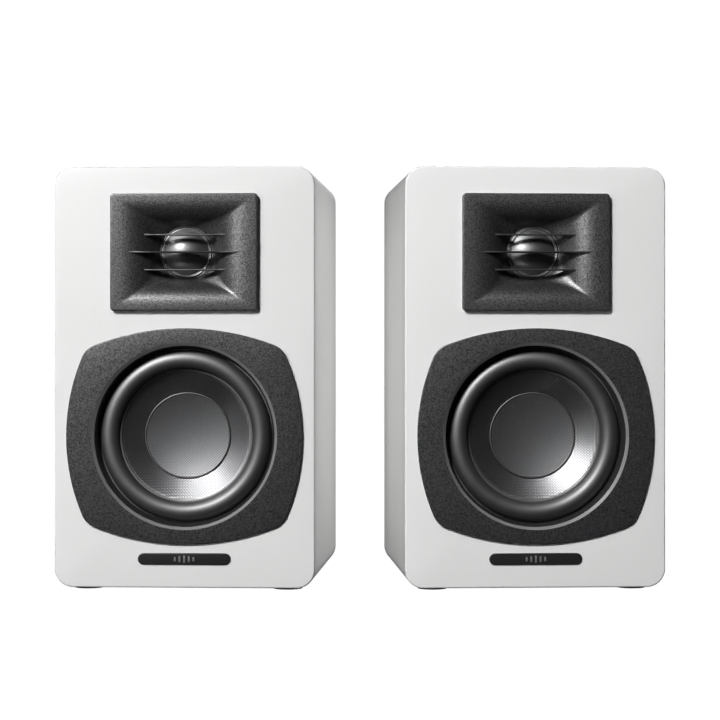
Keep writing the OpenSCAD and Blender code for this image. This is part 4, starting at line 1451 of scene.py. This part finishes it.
def add_sockets():
    """The phono sockets with their coloured inserts, then the mini-jack and power sockets."""
    face = local_box("right", "amp_panel").hi.y
    shells = Shell()
    core, hole = 2.6 * MM, 1.6 * MM
    inserts = (("white", "button_plastic"), ("red", "red_plastic"))
    for box, (tint, slot) in zip(phono_boxes(), inserts):
        middle = centre_of(box)
        outer = box.size.x / 2
        inner = outer - 0.5 * MM
        end, tip = box.hi.y, box.hi.y - 1.5 * MM
        back, seat = face - 1 * MM, face + 0.8 * MM
        profile = [(outer, box.lo.y), (outer, end - 0.5 * MM), (outer - 0.15 * MM, end - 0.12 * MM)]
        profile += [(outer - 0.35 * MM, end), (inner, end - 0.15 * MM), (inner, face), (inner, box.lo.y)]
        shells.turned(profile, middle, 48, closed=True)
        insert = Shell()
        profile = [(inner, back), (inner, seat), (core, seat), (core, tip - 0.3 * MM), (core - 0.3 * MM, tip)]
        profile += [(hole + 0.2 * MM, tip), (hole, tip - 0.2 * MM), (hole, back)]
        insert.turned(profile, middle, 48, closed=True)
        add_amp_piece(f"phono_insert_{tint}", insert, f"{tint}_plastic", slot)
    add_amp_piece("phono_shells", shells, "nickel", "nickel", "phono_sockets")
    add_jack(face)
    add_power(face)


def add_jack(face):
    """The mini-jack socket: its case behind the panel and its nut in front."""
    box = local_box("right", "jack_socket")
    middle = centre_of(box)
    hole, nut = 1.8 * MM, 4 * MM
    shell = Shell()
    back, seat = face - 11.5 * MM, face - 1.5 * MM
    profile = [(0, back), (hole, back), (hole, box.hi.y - 0.4 * MM), (hole + 0.4 * MM, box.hi.y)]
    profile += [(nut - 0.3 * MM, box.hi.y), (nut, box.hi.y - 0.3 * MM), (nut, seat)]
    rings = shell.turned(profile, middle, 48)
    made = shell.skin([box_rect(box, 0, 0.5 * MM, y) for y in (seat, box.lo.y)])
    shell.fill(made[0], rings[-1])
    shell.fill(made[1])
    add_amp_piece("jack_nut", shell, "nickel", "nickel", "jack_socket")


def add_power(face):
    """The power socket: a block with a round bore and a pin."""
    box = local_box("right", "power_socket")
    middle = centre_of(box)
    hole = round_outline(2.8 * MM, middle, 40)
    deep = face - 8.5 * MM
    outline = box_outline(box, 0.8 * MM)
    shell = Shell()
    levels = [outline(0, box.lo.y)] + [outline(i, box.hi.y - d) for i, d in rounding(0.3 * MM)]
    outer = shell.skin(levels)
    bore = shell.skin(pit(hole, box.hi.y, deep, 0.3 * MM))
    shell.fill(outer[0])
    shell.fill(outer[-1], bore[-1])
    shell.fill(bore[0])
    add_amp_piece("power_block", shell, "matte_black", "socket_plastic", "power_socket")
    pin = Shell()
    root, tip, radius = deep - 0.5 * MM, face - 0.5 * MM, 1 * MM
    profile = [(0, root), (radius, root), (radius, tip - 0.6 * MM), (0.5 * MM, tip), (0, tip)]
    pin.turned(profile, middle, 24)
    add_amp_piece("power_pin", pin, "nickel", "nickel")


# CAD nodes that stay as they are

KEPT_SIDE_NODES = {
    "tweeter_ring": "smooth_plastic", "tweeter_coil": "copper_wire", "tweeter_magnet": "zinc_steel",
    "woofer_basket": "basket_coat", "woofer_coil": "copper_wire", "woofer_magnet": "ferrite",
    "woofer_yoke": "zinc_steel",
}
KEPT_AMP_NODES = {"amp_board": "circuit_board", "potentiometer": "zinc_steel", "knob_shaft": "nickel"}


def paint_kept_nodes():
    """Gives each CAD node that shows as it is a finish, and the lights of its speaker."""
    kept = dict(KEPT_AMP_NODES)
    for side in SIDES:
        kept.update({f"{side}_{node}": paint for node, paint in KEPT_SIDE_NODES.items()})
    for node, paint in kept.items():
        mesh = frame["nodes"][node].data
        mesh.materials.clear()
        mesh.materials.append(finish(paint))
        side = "left" if node.startswith("left_") else "right"
        collection_for(f"{side} speaker").objects.link(frame["nodes"][node])


# Stage

def aim(obj, target):
    """Turns a light so that it faces the target."""
    obj.rotation_euler = (Vector(target) - obj.location).to_track_quat("-Z", "Y").to_euler()


def add_light(name, place, target, watts, size):
    """A square light of that size, aimed at the target."""
    data = bpy.data.lights.new(name, "AREA")
    data.energy = watts
    data.shape = "SQUARE"
    data.size = size
    obj = bpy.data.objects.new(name, data)
    bpy.context.scene.collection.objects.link(obj)
    obj.location = place
    aim(obj, target)
    return obj


def stage_piece(name, shell, paint):
    """A stage surface that the camera sees and that throws no light back at the speakers."""
    mesh = shell.mesh(name)
    mesh.materials.append(finish(paint))
    obj = bpy.data.objects.new(name, mesh)
    bpy.context.scene.collection.objects.link(obj)
    obj.visible_diffuse = False
    obj.visible_glossy = False
    obj.visible_shadow = False


def add_camera(stage):
    """A level camera in front of the pair, midway between the speakers."""
    scene = bpy.context.scene
    front = min(PLACES[side].translation.y for side in SIDES)
    data = bpy.data.cameras.new("Camera")
    data.lens = stage.lens
    data.sensor_width = 36
    data.shift_y = -stage.lift
    camera = bpy.data.objects.new("Camera", data)
    scene.collection.objects.link(camera)
    camera.location = (0, front - stage.distance, stage.height)
    camera.rotation_euler = (math.pi / 2, 0, 0)
    scene.camera = camera


def add_lights(stage):
    """Each speaker has its own lights; those beside it reach only its painted sleeve."""
    lo, hi = CAD_BOX
    middle = Vector(((lo.x + hi.x) / 2, lo.y, (lo.z + hi.z) / 2))
    for side in SIDES:
        front = PLACES[side].translation + Vector((0, 0, middle.z))

        def own_light(name, place, watts, size, pieces):
            light = add_light(f"{side} {name}", front + Vector(place), front, watts, size)
            light.light_linking.receiver_collection = pieces
            light.light_linking.blocker_collection = pieces
            return light

        pieces = collection_for(f"{side} speaker")
        own_light("key", (-0.8, -1.6, 1.0), stage.key, 0.4, pieces).visible_glossy = False
        own_light("gloss", (-0.25, -0.33, 0.3), stage.gloss, 0.12, pieces).visible_diffuse = False
        for way in (-1, 1):
            place = (way * 0.9, -1.4, 0.5)
            own_light(f"side {way}", place, stage.side, 0.6, collection_for(f"{side} sleeve"))
    add_light("Left light", middle + Vector((-1.3, -1.2, 0.1)), middle, stage.left, 0.5)
    add_light("Rear light", middle + Vector((0.7, 1.9, 1.4)), middle, stage.rear, 1.2)
    world = bpy.context.scene.world or bpy.data.worlds.new("Room")
    bpy.context.scene.world = world
    world.use_nodes = True
    room = world.node_tree.nodes["Background"]
    room.inputs["Color"].default_value = (1, 1, 1, 1)
    room.inputs["Strength"].default_value = stage.room


def add_surfaces():
    """A round floor and a tall white wall all around it."""
    reach, tall = 7.0, 6.0
    floor = Shell()
    below = -0.02 * MM
    rings = [[(x, y, below) for x, _, y in circle(radius, 0, count=72)] for radius in (0.5, 1.2, 3.0, reach)]
    made = floor.skin(rings)
    floor.fill(made[0])
    stage_piece("Floor", floor, "pale_floor")
    wall = Shell()
    rings = [[(x, y, z) for x, _, y in circle(reach, 0, count=72)] for z in (-0.1, tall)]
    made = wall.skin(rings)
    wall.fill(made[1])
    stage_piece("Backdrop", wall, "bright_wall")


# Operators

class SpeakerOperator:
    """What every step shares."""

    bl_options = {"REGISTER", "UNDO"}


class SPEAKERS_OT_cabinets(SpeakerOperator, bpy.types.Operator):
    """Adds the painted sleeve and front board of each speaker"""

    bl_idname = "speakers.cabinets"
    bl_label = "Cabinets"

    def execute(self, context):
        for side in SIDES:
            add_sleeve(side, context.scene.speaker_sizes)
            add_baffle(side, context.scene.speaker_sizes)
        return {"FINISHED"}


class SPEAKERS_OT_rear_panels(SpeakerOperator, bpy.types.Operator):
    """Adds the wrapped rear board of each speaker"""

    bl_idname = "speakers.rear_panels"
    bl_label = "Rear panels"

    def execute(self, context):
        for side in SIDES:
            add_rear_panel(side, context.scene.speaker_sizes)
        return {"FINISHED"}


class SPEAKERS_OT_feet(SpeakerOperator, bpy.types.Operator):
    """Adds the rubber pads under each speaker"""

    bl_idname = "speakers.feet"
    bl_label = "Feet"

    def execute(self, context):
        for side in SIDES:
            add_feet(side)
        return {"FINISHED"}


class SPEAKERS_OT_badges(SpeakerOperator, bpy.types.Operator):
    """Adds a plain badge plate to each front"""

    bl_idname = "speakers.badges"
    bl_label = "Badges"

    def execute(self, context):
        for side in SIDES:
            add_badge(side, context.scene.speaker_sizes)
        return {"FINISHED"}


class SPEAKERS_OT_ports(SpeakerOperator, bpy.types.Operator):
    """Adds the flared bass ports"""

    bl_idname = "speakers.ports"
    bl_label = "Bass ports"

    def execute(self, context):
        for side in SIDES:
            add_port(side, context.scene.speaker_sizes)
        return {"FINISHED"}


class SPEAKERS_OT_screws(SpeakerOperator, bpy.types.Operator):
    """Adds a cross-recessed screw at every place the frame has one"""

    bl_idname = "speakers.screws"
    bl_label = "Screws"

    def execute(self, context):
        for side in SIDES:
            add_screws(side)
        return {"FINISHED"}


class SPEAKERS_OT_horns(SpeakerOperator, bpy.types.Operator):
    """Adds the creased horns"""

    bl_idname = "speakers.horns"
    bl_label = "Horns"

    def execute(self, context):
        for side in SIDES:
            add_horn(side, context.scene.speaker_sizes)
        return {"FINISHED"}


class SPEAKERS_OT_vanes(SpeakerOperator, bpy.types.Operator):
    """Adds three wing-shaped vanes to each horn"""

    bl_idname = "speakers.vanes"
    bl_label = "Vanes"

    def execute(self, context):
        for side in SIDES:
            add_vanes(side, context.scene.speaker_sizes)
        return {"FINISHED"}


class SPEAKERS_OT_tweeters(SpeakerOperator, bpy.types.Operator):
    """Adds the silk domes and their rings"""

    bl_idname = "speakers.tweeters"
    bl_label = "Tweeters"

    def execute(self, context):
        for side in SIDES:
            add_tweeter(side, context.scene.speaker_sizes)
        return {"FINISHED"}


class SPEAKERS_OT_trims(SpeakerOperator, bpy.types.Operator):
    """Adds the bowed trims around the woofers"""

    bl_idname = "speakers.trims"
    bl_label = "Woofer trims"

    def execute(self, context):
        for side in SIDES:
            add_trim(side, context.scene.speaker_sizes)
        return {"FINISHED"}


class SPEAKERS_OT_suspensions(SpeakerOperator, bpy.types.Operator):
    """Adds the rubber rolls and rippled spiders"""

    bl_idname = "speakers.suspensions"
    bl_label = "Surrounds and spiders"

    def execute(self, context):
        for side in SIDES:
            add_surround(side, context.scene.speaker_sizes)
            add_spider(side)
        return {"FINISHED"}


class SPEAKERS_OT_cones(SpeakerOperator, bpy.types.Operator):
    """Adds the woven cones and their dished caps"""

    bl_idname = "speakers.cones"
    bl_label = "Cones and caps"

    def execute(self, context):
        for side in SIDES:
            add_cone(side)
            add_dust_cap(side)
        return {"FINISHED"}


class SPEAKERS_OT_terminals(SpeakerOperator, bpy.types.Operator):
    """Adds the speaker wire terminals and their levers"""

    bl_idname = "speakers.terminals"
    bl_label = "Terminals"

    def execute(self, context):
        for side in SIDES:
            add_terminals(side)
        return {"FINISHED"}


class SPEAKERS_OT_amp_panel(SpeakerOperator, bpy.types.Operator):
    """Adds the amplifier panel and its printed lines"""

    bl_idname = "speakers.amp_panel"
    bl_label = "Amplifier panel"

    def execute(self, context):
        add_amp_panel()
        return {"FINISHED"}


class SPEAKERS_OT_controls(SpeakerOperator, bpy.types.Operator):
    """Adds the volume knob, the pairing button and the status light"""

    bl_idname = "speakers.controls"
    bl_label = "Knob, button and light"

    def execute(self, context):
        add_knob(context.scene.speaker_sizes)
        add_button_and_light()
        return {"FINISHED"}


class SPEAKERS_OT_sockets(SpeakerOperator, bpy.types.Operator):
    """Adds the phono, headphone and power sockets"""

    bl_idname = "speakers.sockets"
    bl_label = "Sockets"

    def execute(self, context):
        add_sockets()
        return {"FINISHED"}


class SPEAKERS_OT_inner_parts(SpeakerOperator, bpy.types.Operator):
    """Gives the inner parts of the frame their finishes"""

    bl_idname = "speakers.inner_parts"
    bl_label = "Inner parts"

    def execute(self, context):
        paint_kept_nodes()
        return {"FINISHED"}


class SPEAKERS_OT_stage(SpeakerOperator, bpy.types.Operator):
    """Adds the camera, the lights, the floor and the backdrop"""

    bl_idname = "speakers.stage"
    bl_label = "Stage"

    def execute(self, context):
        add_camera(context.scene.speaker_stage)
        add_lights(context.scene.speaker_stage)
        add_surfaces()
        context.scene.view_settings.view_transform = "Standard"
        return {"FINISHED"}


STEPS = (
    SPEAKERS_OT_cabinets, SPEAKERS_OT_rear_panels, SPEAKERS_OT_feet, SPEAKERS_OT_badges,
    SPEAKERS_OT_ports, SPEAKERS_OT_screws, SPEAKERS_OT_horns, SPEAKERS_OT_vanes, SPEAKERS_OT_tweeters,
    SPEAKERS_OT_trims, SPEAKERS_OT_suspensions, SPEAKERS_OT_cones, SPEAKERS_OT_terminals,
    SPEAKERS_OT_amp_panel, SPEAKERS_OT_controls, SPEAKERS_OT_sockets, SPEAKERS_OT_inner_parts,
    SPEAKERS_OT_stage,
)


class SPEAKERS_PT_sidebar(bpy.types.Panel):
    """Lists the settings and the steps"""

    bl_label = "Desktop speakers"
    bl_space_type = "VIEW_3D"
    bl_region_type = "UI"
    bl_category = "Speakers"

    def draw(self, context):
        for setting in SETTINGS:
            group = getattr(context.scene, setting)
            column = self.layout.column(align=True)
            for name in group.__annotations__:
                column.prop(group, name)
        steps = self.layout.column(align=True)
        for step in STEPS:
            steps.operator(step.bl_idname)


SETTINGS = {
    "speaker_sizes": SpeakerSizes,
    "speaker_colours": SpeakerColours,
    "speaker_stage": StageSettings,
}


def register():
    for cls in (*SETTINGS.values(), *STEPS, SPEAKERS_PT_sidebar):
        bpy.utils.register_class(cls)
    for name, cls in SETTINGS.items():
        setattr(bpy.types.Scene, name, PointerProperty(type=cls))


def unregister():
    for name in SETTINGS:
        delattr(bpy.types.Scene, name)
    for cls in (SPEAKERS_PT_sidebar, *reversed(STEPS), *SETTINGS.values()):
        bpy.utils.unregister_class(cls)


def main():
    register()
    for step in STEPS:
        group, name = step.bl_idname.split(".")
        result = getattr(getattr(bpy.ops, group), name)()
        if result != {"FINISHED"}:
            raise RuntimeError(f"{step.bl_idname} did not finish")


if __name__ == "__main__":
    main()
